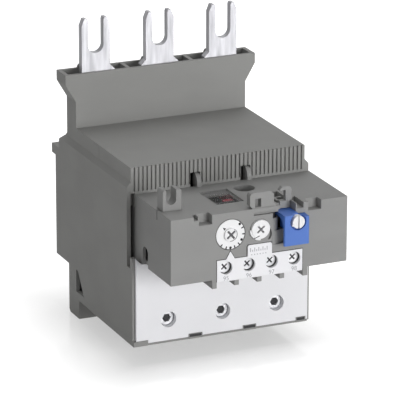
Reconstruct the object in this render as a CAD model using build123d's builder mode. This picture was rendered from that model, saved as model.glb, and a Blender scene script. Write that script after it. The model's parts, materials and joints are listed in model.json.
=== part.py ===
"""Thermal overload relay for a three-pole contactor, with forked busbars and a box-clamp outlet.

Frame: +X to the right of someone facing the dials, +Y towards the back, +Z up. The origin is the
centre of the relay's bounding box in plan, at the level of its rear feet. Lengths are millimetres.
Depths are measured forward from the relay's back face, heights upward from its underside.
"""
import math
import os

from build123d import *

# Clearances
running_gap = 0.05
slip_gap = 0.1
seat_gap = 0.2
shadow_gap = 0.3

# Poles: the outlet terminals stand closer together than the forks
pole_pitch = 35.0
pole_draw_in = 5.7
cell_centre = -1.1
barrier_t = 2.0

# Lower housing
side_room = 4.05
wall = 2.1
floor_t = 2.5
room_h = 39.0
shelf_t = 3.8
chamber_rise = 26.9
rear_step_h = 16.3
rear_step_d = 17.2
foot_drop = 9.7
foot_len = 13.6
foot_w = 14.0
foot_bevel = 1.5
front_wall_back = 83.7
front_wall_t = 2.2
rim_depth = 8.7
mouth_depth = 6.6
post_depth = 2.7
post_rise = 2.9
side_slot_rise = 1.0
foot_bar_w = 8.0
foot_bar_t = 2.8
foot_bar_inset = 11.8
foot_bar_lift = 2.7
window_reach = 8.0
cradle_w = 8.0

# Housing screws
post_d = 50.0
post_inset = 6.1
post_half = 4.0
post_top_t = 12.7
housing_screw_r = 1.5
housing_head_af = 5.2
housing_head_t = 2.4
housing_screw_bite = 8.3

# Upper housing and busbar shroud
side_lean = 5.6
skirt_out = 2.2
skirt_rise = 10.7
skirt_bevel_h = 2.5
deck_rise = 20.4
deck_t = 2.5
upper_back = 5.0
rear_rim_h = 2.0
lug_out = 5.0
lug_h = 5.0
shoulder_drop = 5.6
shoulder_foot = 10.6
ribbed_wall_t = 4.2
shroud_back = 11.0
shroud_depth = 12.4
shroud_front_wall = 1.8
shroud_back_wall = 1.5
shroud_end_wall = 2.2
web_t = 2.0
flare_out = 5.4
flare_low_rise = 13.8
flare_high_rise = 23.0
shroud_rise = 28.2
tongue_half = 6.8
tongue_rise = 1.8
tongue_bevel = 1.2
rib_pitch = 2.25
rib_count = 41
rib_groove = 0.9
rib_depth = 0.8
corner_notch_w = 2.3
corner_notch_deep = 3.6
corner_notch_h = 7.3
hook_slot_w = 5.3
hook_slot_deep = 4.5
hook_slot_rise = 7.2
hook_slot_drop = 2.4

# Busbars
bar_t = 4.0
bar_w = 15.3
bar_front_gap = 0.1
fork_slot_r = 4.2
fork_slot_deep = 13.9
fork_flare = 0.8
fork_rise = 27.6
bar_neck_rise = 2.7
bar_shoulder_rise = 0.3
bar_shoulder_w = 2.55
bar_jog_top = 10.0
bar_jog_h = 4.0
bar_bend_drop = 4.1
bar_tail_d = 66.0
bar_bevel_w = 1.5
bar_bevel_h = 3.6

# Heater, bimetal and outlet terminal of each pole
tail_top_h = 26.0
tail_t = 4.0
tail_back_d = 46.0
tail_front_d = 84.0
tail_bend_r = 3.0
heater_t = 1.5
heater_offset = 4.0
heater_back_d = 47.0
heater_w = 14.0
heater_cut = 1.8
heater_band = 3.5
heater_turns = 6
bimetal_t = 1.2
bimetal_back_d = 50.0
bimetal_w = 10.0
bimetal_foot_t = 1.5
bimetal_foot_h = 4.0
guide_t = 1.85
guide_h = 19.5
cage_side_t = 2.6
cage_rear_t = 3.5
cage_nose_t = 5.0
cage_nose_r = 2.0
cage_len = 31.5
cage_low_h = 4.0
cage_h = 16.0
cage_travel = 7.5
screw_h = 12.0
clamp_screw_r = 3.95
clamp_screw_len = 16.2
clamp_screw_bevel = 0.5
socket_af = 4.0
socket_deep = 4.5

# Outlet cover
cover_t = 1.5
cover_edge = 1.45
cover_lift = 1.1
cover_hole_r = 4.1
cover_inset = 1.5
cover_lip_t = 1.3
cover_gap = 0.15
sill_short = 1.6
lip_h = 2.6
lip_proud = 0.2
lip_spans = ((0.0, 7.6), (29.6, 36.9), (59.1, 66.2), (88.3, 93.4))

# Trip module casing
module_inset = 4.6
module_over = 2.4
module_depth = 43.6
module_wall = 1.8
module_face_t = 2.0
module_roof_t = 2.0
roof_gap = 4.0
rim_inset = 0.4
arch_d = 12.3
arch_r = 3.3
arch_h = 10.2
module_screw_x = 32.0
module_screw_d = 4.6
module_screw_r = 1.15
module_head_af = 5.0
module_head_t = 2.2
module_screw_bite = 3.0
hook_x = (-15.2, 11.9)
hook_t = 2.2
hook_out = 2.0
hook_in = 3.6
hook_rise = 6.5

# Auxiliary terminals
aux_count = 4
aux_pitch = 12.1
aux_first_x = -15.5
aux_rise = 5.4
aux_hole_r = 3.3
aux_head_r = 3.0
aux_head_t = 2.4
aux_head_sink = 2.2
aux_shank_r = 1.75
aux_shank_len = 9.1
aux_wire_gap = 4.35
aux_contact_t = 1.5
aux_contact_w = 10.4
washer_t = 1.23
washer_half = 3.6
washer_hole_r = 1.95
divider_t = 1.2
chamber_depth = 12.2
ceiling_t = 1.0
leg_w = 2.4
leg_drop = 4.4
leg_back = 14.2
leg_sink = 0.8
plate_t = 1.2
plate_proud = 0.2
plate_drop = 1.4
plate_h = 11.1
plate_left_gap = 0.05
plate_right_gap = 0.45
tag_half = 6.45
tag_h = 5.7
tag_bevel = 0.7
pointer_h = 3.9
pointer_half = 2.3
pointer_gap = 1.1

# Setting dial and selector
dial_x = -13.2
dial_r = 7.5
dial_well_gap = 0.35
dial_t = 7.2
dial_hub_r = 3.4
dial_hub_out = 0.9
dial_shaft_r = 2.5
cam_r = 6.0
cam_lift = 1.6
cam_t = 3.0
cam_steps = 24
knob_x = 2.4
knob_r = 4.8
knob_well_gap = 0.15
knob_lobe_r = 5.6
knob_lobe_t = 0.85
knob_out = 1.3
knob_sink = 6.2
knob_shaft_r = 2.0
tag_gap = 2.0
sweep_slot_r = 6.3
sweep_slot_deep = 1.2

# Reset button and stop pin
button_left = 13.05
button_w = 13.15
button_arm_w = 8.25
button_lift = 4.3
button_h = 14.0
button_arm_rise = 1.4
button_arm_t = 2.0
button_plate_t = 1.4
button_curve_r = 4.9
button_edge_r = 0.4
button_out = 5.5
button_arm_len = 14.7
button_travel = 4.0
button_gap = 0.15
button_boss_len = 10.7
boss_wall = 0.6
rod_r = 2.0
rod_drop = 5.9
rod_inset = 2.0
rod_reach = 3.5
scoop_w = 3.6
scoop_deep = 5.7
scoop_wall = 1.2
stop_x = 20.3
stop_drop = 3.7
stop_r = 3.2
stop_well_r = 4.2
stop_head_t = 3.2
stop_shaft_r = 2.0
stop_shaft_len = 6.0
stop_slot_w = 0.8
pin_proud = 0.6
spring_r = 3.4
spring_wire = 0.8
spring_turns = 6
spring_sides = 8

# Roof of the module
tab_left = -2.7
tab_w = 12.7
tab_t = 3.7
tab_inset = 0.5
tab_lift = 1.5
tab_rise = 7.9
tab_bevel = 1.7
tab_eye_left = 2.7
tab_eye_w = 3.2
tab_eye_low = 0.5
tab_eye_h = 4.3
tab_cut_h = 1.6
latch_left = 2.55
latch_w = 6.3
latch_t = 2.6
latch_inset = 5.8
latch_rise = 7.1
latch_bevel = 1.3
latch_eye_w = 3.1
latch_eye_h = 5.3
channel_w = 3.6
channel_deep = 2.8
channel_len = 10.2
pocket_len = 15.3
pocket_w = 10.3
pocket_wall = 0.9
cross_t = 1.2
corner_pocket_x = (-29.8, 28.2)
corner_pocket_w = 6.9
corner_pocket_deep = 4.7
corner_pocket_h = 4.7
nick_left = -32.5
nick_w = 2.2
nick_h = 1.9
nick_deep = 4.0
well_x = 8.3
well_d = 12.2
well_r = 5.3
well_deep = 5.6
well_wall = 1.3
window_left = -15.0
window_w = 15.1
window_back = 9.6
window_front = 13.2
window_t = 1.2
window_ledge = 2.1
window_bevel = 0.8
guide_inset = 1.8
guide_w = 9.7
guide_len = 6.7
guide_front = 13.7
guide_rise = 10.4
guide_sink = 0.6
guide_notch_r = 2.6
guide_notch_x = 4.4
guide_notch_rise = 5.5
guide_peg = 0.6
guide_peg_deep = 3.0
guide_slit_w = 0.8
guide_slit_h = 4.7

# Inner frame, slider and contacts
frame_sink = 20.2
frame_t = 2.0
frame_boss = 1.5
back_plate_gap = 2.4
back_plate_t = 2.0
slider_drop = 7.7
slider_h = 3.0
slider_t = 2.0
slider_travel = 2.5
slider_inset_left = 9.1
slider_inset_right = 8.9
finger_t = 1.6
finger_gap = 0.1
arm_w = 3.0
lever_inset = 12.8
lever_rise = 6.5
lever_half = 3.0
lever_gap = 2.0
lever_t = 2.0
lever_pin_r = 1.5
lever_push = 3.4
lever_tip_w = 2.5
compensator_t = 1.0
compensator_w = 3.5
compensator_h = 10.0
carrier_gap = 1.5
carrier_t = 3.5
carrier_h = 3.0
carrier_below = 4.0
carrier_inset_left = 13.5
carrier_inset_right = 7.3
carrier_dog_w = 2.1
cradle_xs = (-28.0, 12.0)
contact_travel = 2.1
nc_stem_x = -22.0
no_stem_x = -4.0
stem_half = 1.5
blade_t = 0.4
blade_reach = 3.0
strip_t = 0.6
strip_w = 2.5
flag_left = -5.5
flag_w = 5.0
flag_t = 3.0
flag_h = 3.8
flag_drop = 3.0
flag_foot = 1.5
flag_foot_h = 1.2
flag_shelf_t = 1.0

# Derived depths
front_wall_face = front_wall_back + front_wall_t
rib_face = front_wall_face + rim_depth
base_front = rib_face + mouth_depth
cover_face = base_front + cover_t
module_front = rib_face + module_depth
module_face = module_front - module_face_t
overall_depth = lug_out + module_front + button_out + pin_proud
back_y = overall_depth / 2 - lug_out
foot_front = rear_step_d + foot_len
foot_bar_back_d = rear_step_d + foot_bar_inset
foot_bar_front_d = foot_bar_back_d + foot_bar_w
post_back_d = base_front - post_depth
shroud_front = shroud_back + shroud_depth
shroud_in = shroud_back + shroud_back_wall
shroud_out = shroud_front - shroud_front_wall
bar_face = shroud_out - bar_front_gap
bar_back = bar_face - bar_t
heater_front_d = heater_back_d + heater_w
bimetal_front_d = bimetal_back_d + bimetal_w
cage_nose_d = base_front - cover_inset - seat_gap - cage_travel
cage_rear_d = cage_nose_d - cage_len
screw_head_d = tail_front_d + clamp_screw_len
slider_back_d = bimetal_front_d + 1.5
slider_front_d = slider_back_d + slider_t
back_plate_d = rib_face + back_plate_gap
back_plate_front = back_plate_d + back_plate_t
lever_back_d = back_plate_front + lever_gap
lever_front_d = lever_back_d + lever_t
carrier_back_d = lever_front_d + carrier_gap
carrier_front_d = carrier_back_d + carrier_t
frame_front_d = module_front - frame_sink
frame_back_d = frame_front_d - frame_t
flag_front_d = frame_back_d - 2.0
flag_back_d = flag_front_d - flag_t
dial_back_d = module_front - dial_t
cam_back_d = frame_front_d + 1.0
knob_back_d = module_front - knob_sink
button_face = module_front + button_out
button_arm_back = button_face - button_arm_len
boss_back = button_face - button_boss_len
stop_seat_d = button_face - stop_head_t + pin_proud
aux_head_d = module_front - aux_head_sink
aux_seat_d = aux_head_d - aux_head_t
aux_shank_end_d = aux_seat_d - aux_shank_len
washer_back_d = aux_seat_d - 0.02 - washer_t
aux_contact_front = washer_back_d - aux_wire_gap
aux_contact_back = aux_contact_front - aux_contact_t
chamber_back_d = module_face - chamber_depth
leg_back_d = module_front - leg_back
window_back_d = rib_face + window_back
window_front_d = module_front - window_front
well_centre_d = rib_face + well_d
guide_front_d = module_front - guide_front
guide_back_d = guide_front_d - guide_len

# Derived places across the relay
cell_pitch = pole_pitch - pole_draw_in
cells = [cell_centre + i * cell_pitch for i in (-1, 0, 1)]
forks = [i * pole_pitch for i in (-1, 0, 1)]
barriers = [cell_centre - cell_pitch / 2, cell_centre + cell_pitch / 2]
base_left = cells[0] - cell_pitch / 2 - side_room
base_right = cells[2] + cell_pitch / 2 + side_room
top_half = 1.5 * pole_pitch - side_lean
skirt_half = top_half + skirt_out
flare_half = top_half + flare_out
post_xs = (base_left + post_inset, base_right - post_inset)
cage_half = (cell_pitch - barrier_t) / 2 - guide_t - shadow_gap
entry_half = cage_half - cage_side_t - 0.6
cover_left = base_left + cover_edge
cover_right = base_right - cover_edge
module_left = base_left + module_inset
module_right = base_right + module_over
plug_right = base_right - wall - rim_inset
aux_xs = [aux_first_x + i * aux_pitch for i in range(aux_count)]
leg_xs = [aux_first_x + (i - 0.5) * aux_pitch for i in range(aux_count + 1)]
plate_left = leg_xs[0] + leg_w / 2 + plate_left_gap
plate_right = leg_xs[-1] - leg_w / 2 - plate_right_gap
tag_left, tag_right = knob_x - tag_half, knob_x + tag_half
button_right = button_left + button_w
button_arm_right = button_left + button_arm_w
rod_x = button_arm_right - rod_inset
latch_x = button_left + latch_left
tab_right = tab_left + tab_w
guide_left = module_left + guide_inset
guide_right = guide_left + guide_w
lever_x = module_right - lever_inset
arm_right = lever_x - lever_push - finger_gap
arm_left = arm_right - arm_w
carrier_left = module_left + carrier_inset_left
carrier_right = module_right - carrier_inset_right
slider_left = base_left + slider_inset_left
slider_right = base_right - slider_inset_right
flag_right = flag_left + flag_w
window_right = window_left + window_w

# Derived heights
shelf_top_h = room_h + shelf_t
parting_h = shelf_top_h + chamber_rise
post_top_h = shelf_top_h + post_rise
side_slot_h = room_h + side_slot_rise
foot_bar_low_h = floor_t + foot_bar_lift
foot_bar_top_h = foot_bar_low_h + foot_bar_t
post_seat_h = parting_h - post_top_t
skirt_top_h = parting_h + skirt_rise
skirt_bevel_top_h = skirt_top_h + skirt_bevel_h
deck_h = parting_h + deck_rise
flare_low_h = deck_h + flare_low_rise
flare_high_h = deck_h + flare_high_rise
shroud_top_h = deck_h + shroud_rise
bar_top_h = shroud_top_h + fork_rise
fork_centre_h = bar_top_h - fork_slot_deep
bar_neck_h = shroud_top_h + bar_neck_rise
bar_shoulder_h = shroud_top_h + bar_shoulder_rise
bar_bend_h = deck_h - bar_bend_drop
bar_under_h = bar_bend_h - bar_t
cage_top_h = cage_low_h + cage_h
guide_top_h = floor_t + guide_h
cover_low_h = cover_lift
module_low_h = shelf_top_h + seat_gap
inner_low_h = module_low_h + module_roof_t
aux_h = module_low_h + aux_rise
plate_low_h = module_low_h - plate_drop
plate_top_h = plate_low_h + plate_h
leg_low_h = module_low_h - leg_drop
chamber_top_h = plate_top_h + ceiling_t
dial_h = plate_top_h + pointer_h + pointer_gap + dial_r
tag_top_h = plate_top_h + tag_h
knob_h = tag_top_h + tag_gap + knob_lobe_r
button_low_h = plate_top_h + button_lift
button_top_h = button_low_h + button_h
button_arm_h = button_top_h + button_arm_rise
rod_h = button_arm_h - rod_drop
stop_h = button_arm_h - stop_drop
module_top_h = button_arm_h + roof_gap
inner_top_h = module_top_h - module_roof_t
plug_top_h = parting_h - seat_gap
undercut_h = button_arm_h + 0.5
slider_low_h = parting_h - slider_drop
slider_top_h = slider_low_h + slider_h
bimetal_top_h = slider_top_h + 1.0
lever_h = module_low_h + lever_rise
carrier_low_h = slider_low_h - carrier_below
carrier_top_h = carrier_low_h + carrier_h
flag_top_h = module_top_h - flag_drop
flag_low_h = flag_top_h - flag_h
rib_foot_h = module_top_h + 1.4
hook_slot_low_h = module_top_h - hook_slot_drop
hook_slot_top_h = module_top_h + hook_slot_rise


def fwd(depth):
    """Row Y of a plane that lies `depth` in front of the relay's back face."""
    return back_y - depth


def up(height):
    """Row Z of a plane that lies `height` above the underside of the lower housing."""
    return foot_drop + height


def side(points, x0, x1, mode=Mode.ADD):
    """A prism along X whose outline is given as (depth, height) points."""
    with BuildSketch(Plane.YZ.offset(x0)) as outline:
        with BuildLine():
            Polyline(*[(fwd(d), up(h)) for d, h in points], close=True)
        make_face()
    extrude(outline.sketch, amount=x1 - x0, mode=mode)


def front(points, d0, d1, mode=Mode.ADD):
    """A prism from depth d0 forward to depth d1 whose outline is given as (x, height) points."""
    with BuildSketch(Plane.XZ.offset(-fwd(d0))) as outline:
        with BuildLine():
            Polyline(*[(x, up(h)) for x, h in points], close=True)
        make_face()
    extrude(outline.sketch, amount=d1 - d0, mode=mode)


def plan(points, h0, h1, mode=Mode.ADD):
    """A prism from height h0 up to h1 whose outline is given as (x, depth) points."""
    with BuildSketch(Plane.XY.offset(up(h0))) as outline:
        with BuildLine():
            Polyline(*[(x, fwd(d)) for x, d in points], close=True)
        make_face()
    extrude(outline.sketch, amount=h1 - h0, mode=mode)


def block(x, d, h, mode=Mode.ADD):
    """A rectangular block between two X values, two depths and two heights."""
    plan([(x[0], d[0]), (x[1], d[0]), (x[1], d[1]), (x[0], d[1])], h[0], h[1], mode)


def discs(spots, r, d0, d1, mode=Mode.ADD):
    """Cylinders along the depth direction at (x, height) spots, from depth d0 forward to depth d1."""
    with BuildSketch(Plane.XZ.offset(-fwd(d0))) as outline:
        with Locations(*[(x, up(h)) for x, h in spots]):
            Circle(r)
    extrude(outline.sketch, amount=d1 - d0, mode=mode)


def polygons(spots, across, sides, d0, d1, mode=Mode.ADD):
    """Regular prisms along the depth direction, `across` wide over their flats."""
    with BuildSketch(Plane.XZ.offset(-fwd(d0))) as outline:
        with Locations(*[(x, up(h)) for x, h in spots]):
            RegularPolygon(across / 2, sides, major_radius=False)
    extrude(outline.sketch, amount=d1 - d0, mode=mode)


def wells(spots, r, h0, h1, mode=Mode.ADD):
    """Upright cylinders at (x, depth) spots, from height h0 up to h1."""
    with BuildSketch(Plane.XY.offset(up(h0))) as outline:
        with Locations(*[(x, fwd(d)) for x, d in spots]):
            Circle(r)
    extrude(outline.sketch, amount=h1 - h0, mode=mode)


def upright_prisms(spots, across, sides, h0, h1, mode=Mode.ADD):
    """Upright regular prisms at (x, depth) spots, `across` wide over their flats."""
    with BuildSketch(Plane.XY.offset(up(h0))) as outline:
        with Locations(*[(x, fwd(d)) for x, d in spots]):
            RegularPolygon(across / 2, sides, major_radius=False)
    extrude(outline.sketch, amount=h1 - h0, mode=mode)


def cross_recess(x, h, size, width, d0, d1):
    """Cuts a cross-shaped driver recess from depth d0 forward to depth d1."""
    with BuildSketch(Plane.XZ.offset(-fwd(d0))) as outline:
        with Locations((x, up(h))):
            Rectangle(size, width, rotation=40)
            Rectangle(width, size, rotation=40)
    extrude(outline.sketch, amount=d1 - d0, mode=Mode.SUBTRACT)


def finish(part, label):
    """Names a finished piece and writes its file."""
    part.label = label
    export_step(part, f"parts/{label}.step")
    return part


os.makedirs("parts", exist_ok=True)
pole_names = ("left", "centre", "right")
post_spots = [(x, post_d) for x in post_xs]
inner_left, inner_right = base_left + wall, base_right - wall

# Lower housing: a tray with a raised rear step, two rear feet, and a shelf that carries the trip module
with BuildPart() as lower_housing:
    side(
        [(0, parting_h), (0, rear_step_h), (rear_step_d, rear_step_h), (rear_step_d, 0), (base_front, 0),
         (base_front, post_top_h), (post_back_d, post_top_h), (post_back_d, side_slot_h),
         (rib_face, side_slot_h), (rib_face, parting_h)],
        base_left, base_right)
    for foot_x in (base_left, base_right - foot_w):
        side(
            [(rear_step_d, 0), (rear_step_d, foot_bevel - foot_drop), (rear_step_d + foot_bevel, -foot_drop),
             (foot_front, -foot_drop), (foot_front, 0)],
            foot_x, foot_x + foot_w)
    # Main cavity, then the chamber under the trip module and the mouth behind the cover
    side(
        [(wall, parting_h), (wall, rear_step_h + floor_t), (rear_step_d + wall, rear_step_h + floor_t),
         (rear_step_d + wall, floor_t), (base_front, floor_t), (base_front, room_h),
         (front_wall_back, room_h), (front_wall_back, parting_h)],
        inner_left, inner_right, Mode.SUBTRACT)
    side(
        [(front_wall_face, parting_h), (front_wall_face, shelf_top_h), (base_front, shelf_top_h),
         (base_front, post_top_h), (rib_face, post_top_h), (rib_face, parting_h)],
        inner_left, inner_right, Mode.SUBTRACT)
    block((inner_left, module_left - slip_gap), (front_wall_face, post_back_d), (side_slot_h, shelf_top_h),
          Mode.SUBTRACT)
    block((base_left + cover_lip_t, base_right - cover_lip_t), (base_front - cover_inset, base_front),
          (floor_t, post_top_h), Mode.SUBTRACT)
    block((inner_right - 1, base_right + 1), (rib_face, base_front + 1), (shelf_top_h, post_top_h + 1),
          Mode.SUBTRACT)
    # Cable entries through the floor
    for cell_x in cells:
        block((cell_x - entry_half, cell_x + entry_half),
              (cage_rear_d + cage_rear_t, tail_front_d - tail_t - 0.5), (-1, floor_t + 1), Mode.SUBTRACT)
    # Screw chimneys on both sides
    for post_x in post_xs:
        block((post_x - post_half, post_x + post_half), (post_d - post_half, post_d + post_half),
              (floor_t - 0.5, parting_h))
        block((post_x - post_half + 1, post_x + post_half - 1), (post_d - post_half + 1, post_d + post_half - 1),
              (-1, post_seat_h), Mode.SUBTRACT)
    wells(post_spots, housing_screw_r + seat_gap, post_seat_h - 1, parting_h + 1, Mode.SUBTRACT)
    # Cradles of the steel foot bar, and the side windows that show its ends
    for cradle_x in (inner_left + cradle_w / 2, cell_centre, inner_right - cradle_w / 2):
        block((cradle_x - cradle_w / 2, cradle_x + cradle_w / 2), (foot_bar_back_d - 1, foot_bar_front_d + 1),
              (floor_t - 0.5, foot_bar_low_h))
    for window_x in (base_left - 1, inner_right - 1):
        side([(foot_bar_back_d - 2, foot_bar_top_h + window_reach),
              (foot_bar_back_d + 0.5, foot_bar_top_h + window_reach),
              (foot_bar_front_d + 0.5, foot_bar_low_h - 1), (foot_bar_back_d - 2, foot_bar_low_h - 1)],
             window_x, window_x + wall + 2, Mode.SUBTRACT)
    # Window of the slider's arm, and the trip module's screw holes
    block((arm_left - 0.5, arm_right + slider_travel + 0.5), (front_wall_back - 1, front_wall_face + 1),
          (slider_low_h - shadow_gap, slider_top_h + shadow_gap), Mode.SUBTRACT)
    module_screw_spots = [(x, front_wall_face + module_screw_d) for x in (-module_screw_x, module_screw_x)]
    wells(module_screw_spots, module_screw_r + running_gap, shelf_top_h - module_screw_bite - 0.2,
          shelf_top_h + 1, Mode.SUBTRACT)
    # Sill with four lips that hold the outlet cover's lower edge
    block((base_left, base_right - sill_short), (base_front, cover_face), (0, cover_low_h - slip_gap))
    for lip_start, lip_end in lip_spans:
        block((base_left + lip_start, base_left + lip_end), (base_front, cover_face + lip_proud), (0, lip_h))
finish(lower_housing.part, "lower_housing")

# Phase insert: two barriers on a raised floor, with the guides that the box clamps slide between
insert_left, insert_right = inner_left + slip_gap, inner_right - slip_gap
with BuildPart() as phase_insert:
    block((insert_left, insert_right), (tail_back_d - 2, cage_rear_d - 3), (floor_t, tail_top_h - tail_t))
    cage_edges = [edge for x in cells for edge in (x - cage_half - shadow_gap, x + cage_half + shadow_gap)]
    for edge_left, edge_right in zip([insert_left] + cage_edges[1::2], cage_edges[0::2] + [insert_right]):
        block((edge_left, edge_right), (cage_rear_d - 3.5, post_back_d - 2), (floor_t, guide_top_h))
    for cell_x in cells:
        block((cell_x - cage_half - 1, cell_x + cage_half + 1), (cage_rear_d - 3.5, post_back_d - 2),
              (floor_t, cage_low_h - shadow_gap))
        block((cell_x - entry_half, cell_x + entry_half),
              (cage_rear_d + cage_rear_t, tail_front_d - tail_t - 0.5), (0, cage_low_h), Mode.SUBTRACT)
    for barrier_x in barriers:
        side(
            [(wall + slip_gap, parting_h - slip_gap), (wall + slip_gap, rear_step_h + floor_t + slip_gap),
             (rear_step_d + wall + slip_gap, rear_step_h + floor_t + slip_gap),
             (rear_step_d + wall + slip_gap, floor_t), (post_back_d - slip_gap, floor_t),
             (post_back_d - slip_gap, room_h - slip_gap), (front_wall_back - slip_gap, room_h - slip_gap),
             (front_wall_back - slip_gap, parting_h - slip_gap)],
            barrier_x - barrier_t / 2, barrier_x + barrier_t / 2)
    # Notches that the slider and the foot bar pass through
    block((insert_left, insert_right), (slider_back_d - shadow_gap, slider_front_d + shadow_gap),
          (slider_low_h - shadow_gap, parting_h), Mode.SUBTRACT)
    block((insert_left, insert_right), (foot_bar_back_d - 1 - slip_gap, foot_bar_front_d + 1 + slip_gap),
          (0, foot_bar_top_h + shadow_gap), Mode.SUBTRACT)
    block((insert_left - 1, base_left + post_inset + post_half + shadow_gap),
          (post_d - post_half - shadow_gap, post_d + post_half + shadow_gap), (0, parting_h), Mode.SUBTRACT)
    block((base_right - post_inset - post_half - shadow_gap, insert_right + 1),
          (post_d - post_half - shadow_gap, post_d + post_half + shadow_gap), (0, parting_h), Mode.SUBTRACT)
finish(phase_insert.part, "phase_insert")

# Upper housing: ribbed front, plain deck and the flared shroud that the busbars stand in
with BuildPart() as upper_housing:
    front(
        [(-skirt_half, parting_h), (skirt_half, parting_h), (skirt_half, skirt_top_h),
         (top_half, skirt_bevel_top_h), (top_half, deck_h), (-top_half, deck_h),
         (-top_half, skirt_bevel_top_h), (-skirt_half, skirt_top_h)],
        upper_back, rib_face)
    block((-skirt_half, skirt_half), (0, upper_back + 1), (parting_h, parting_h + rear_rim_h))
    # The rear shoulder slopes up to the shroud's back face
    side([(upper_back - 1, deck_h + 1), (upper_back - 1, deck_h - shoulder_foot),
          (upper_back, deck_h - shoulder_foot), (shroud_back, deck_h - shoulder_drop), (shroud_back, deck_h + 1)],
         -skirt_half, skirt_half, Mode.SUBTRACT)
    for lug_x in (-skirt_half, skirt_half - foot_w):
        block((lug_x, lug_x + foot_w), (-lug_out, upper_back), (parting_h, parting_h + lug_h))
    front(
        [(-top_half, deck_h - 1), (top_half, deck_h - 1), (top_half, flare_low_h), (flare_half, flare_high_h),
         (flare_half, shroud_top_h), (-flare_half, shroud_top_h), (-flare_half, flare_high_h),
         (-top_half, flare_low_h)],
        shroud_back, shroud_front)
    for fork_x in forks:
        front(
            [(fork_x - tongue_half, shroud_top_h - 0.5), (fork_x + tongue_half, shroud_top_h - 0.5),
             (fork_x + tongue_half - tongue_bevel, shroud_top_h + tongue_rise),
             (fork_x - tongue_half + tongue_bevel, shroud_top_h + tongue_rise)],
            shroud_back, shroud_in)
    # Cavity below the deck, with the phase barriers carried up to the deck
    front(
        [(-skirt_half + wall, parting_h), (inner_right, parting_h), (inner_right, deck_h - deck_t),
         (-top_half + wall, deck_h - deck_t), (-top_half + wall, skirt_bevel_top_h),
         (-skirt_half + wall, skirt_top_h)],
        shroud_in, rib_face - ribbed_wall_t, Mode.SUBTRACT)
    for barrier_x in barriers:
        block((barrier_x - barrier_t / 2, barrier_x + barrier_t / 2), (shroud_in - 0.5, rib_face - ribbed_wall_t + 0.2),
              (parting_h, deck_h - 1))
    # Three shroud cells, each open above
    web_half = web_t / 2
    inner_cell = pole_pitch / 2 - web_half
    outer_cell = pole_pitch / 2 + web_half
    block((-inner_cell, inner_cell), (shroud_in, shroud_out), (deck_h, shroud_top_h + 3), Mode.SUBTRACT)
    flare_in = flare_half - shroud_end_wall
    for way in (-1, 1):
        front(
            [(way * (top_half - shroud_end_wall), deck_h), (way * outer_cell, deck_h),
             (way * outer_cell, shroud_top_h + 3), (way * flare_in, shroud_top_h + 3),
             (way * flare_in, flare_high_h), (way * (top_half - shroud_end_wall), flare_low_h)],
            shroud_in, shroud_out, Mode.SUBTRACT)
    for cell_x in cells:
        block((cell_x - bar_w / 2 - cover_gap, cell_x + bar_w / 2 + cover_gap), (bar_back - cover_gap, shroud_out),
              (deck_h - deck_t - 1, deck_h + 1), Mode.SUBTRACT)
    # Grooves between the ribs
    with BuildSketch(Plane.XY.offset(up(rib_foot_h))) as grooves:
        with Locations((0, fwd(rib_face - rib_depth / 2))):
            with GridLocations(rib_pitch, rib_depth, rib_count, 1):
                Rectangle(rib_groove, rib_depth + 0.01)
    extrude(grooves.sketch, amount=deck_h + 1 - rib_foot_h, mode=Mode.SUBTRACT)
    # Slots for the trip module's two hooks, and the notch in the left front corner
    for slot_x in hook_x:
        block((slot_x, slot_x + hook_slot_w), (rib_face - hook_slot_deep, rib_face + 1),
              (hook_slot_low_h, hook_slot_top_h), Mode.SUBTRACT)
    block((module_left - seat_gap - corner_notch_w, module_left - seat_gap),
          (rib_face - corner_notch_deep, rib_face + 1), (parting_h - 1, parting_h + corner_notch_h), Mode.SUBTRACT)
    # Bosses that take the housing screws
    for post_x in post_xs:
        block((post_x - post_half, post_x + post_half), (post_d - post_half, post_d + post_half),
              (parting_h, deck_h - 1))
    wells(post_spots, housing_screw_r - seat_gap, parting_h - 1, parting_h + housing_screw_bite + 0.8,
          Mode.SUBTRACT)
finish(upper_housing.part, "upper_housing")

# Housing screws: two long self-tapping screws with hexagon heads, driven from below
with BuildPart() as housing_screws:
    upright_prisms(post_spots, housing_head_af, 6, post_seat_h - housing_head_t, post_seat_h)
    wells(post_spots, housing_screw_r - seat_gap - running_gap, post_seat_h - 0.1, parting_h + housing_screw_bite)
finish(housing_screws.part, "housing_screws")

# Steel bar across the feet
with BuildPart() as foot_bar:
    block((inner_left + shadow_gap, inner_right - shadow_gap), (foot_bar_back_d, foot_bar_front_d),
          (foot_bar_low_h, foot_bar_top_h))
finish(foot_bar.part, "foot_bar")

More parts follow.
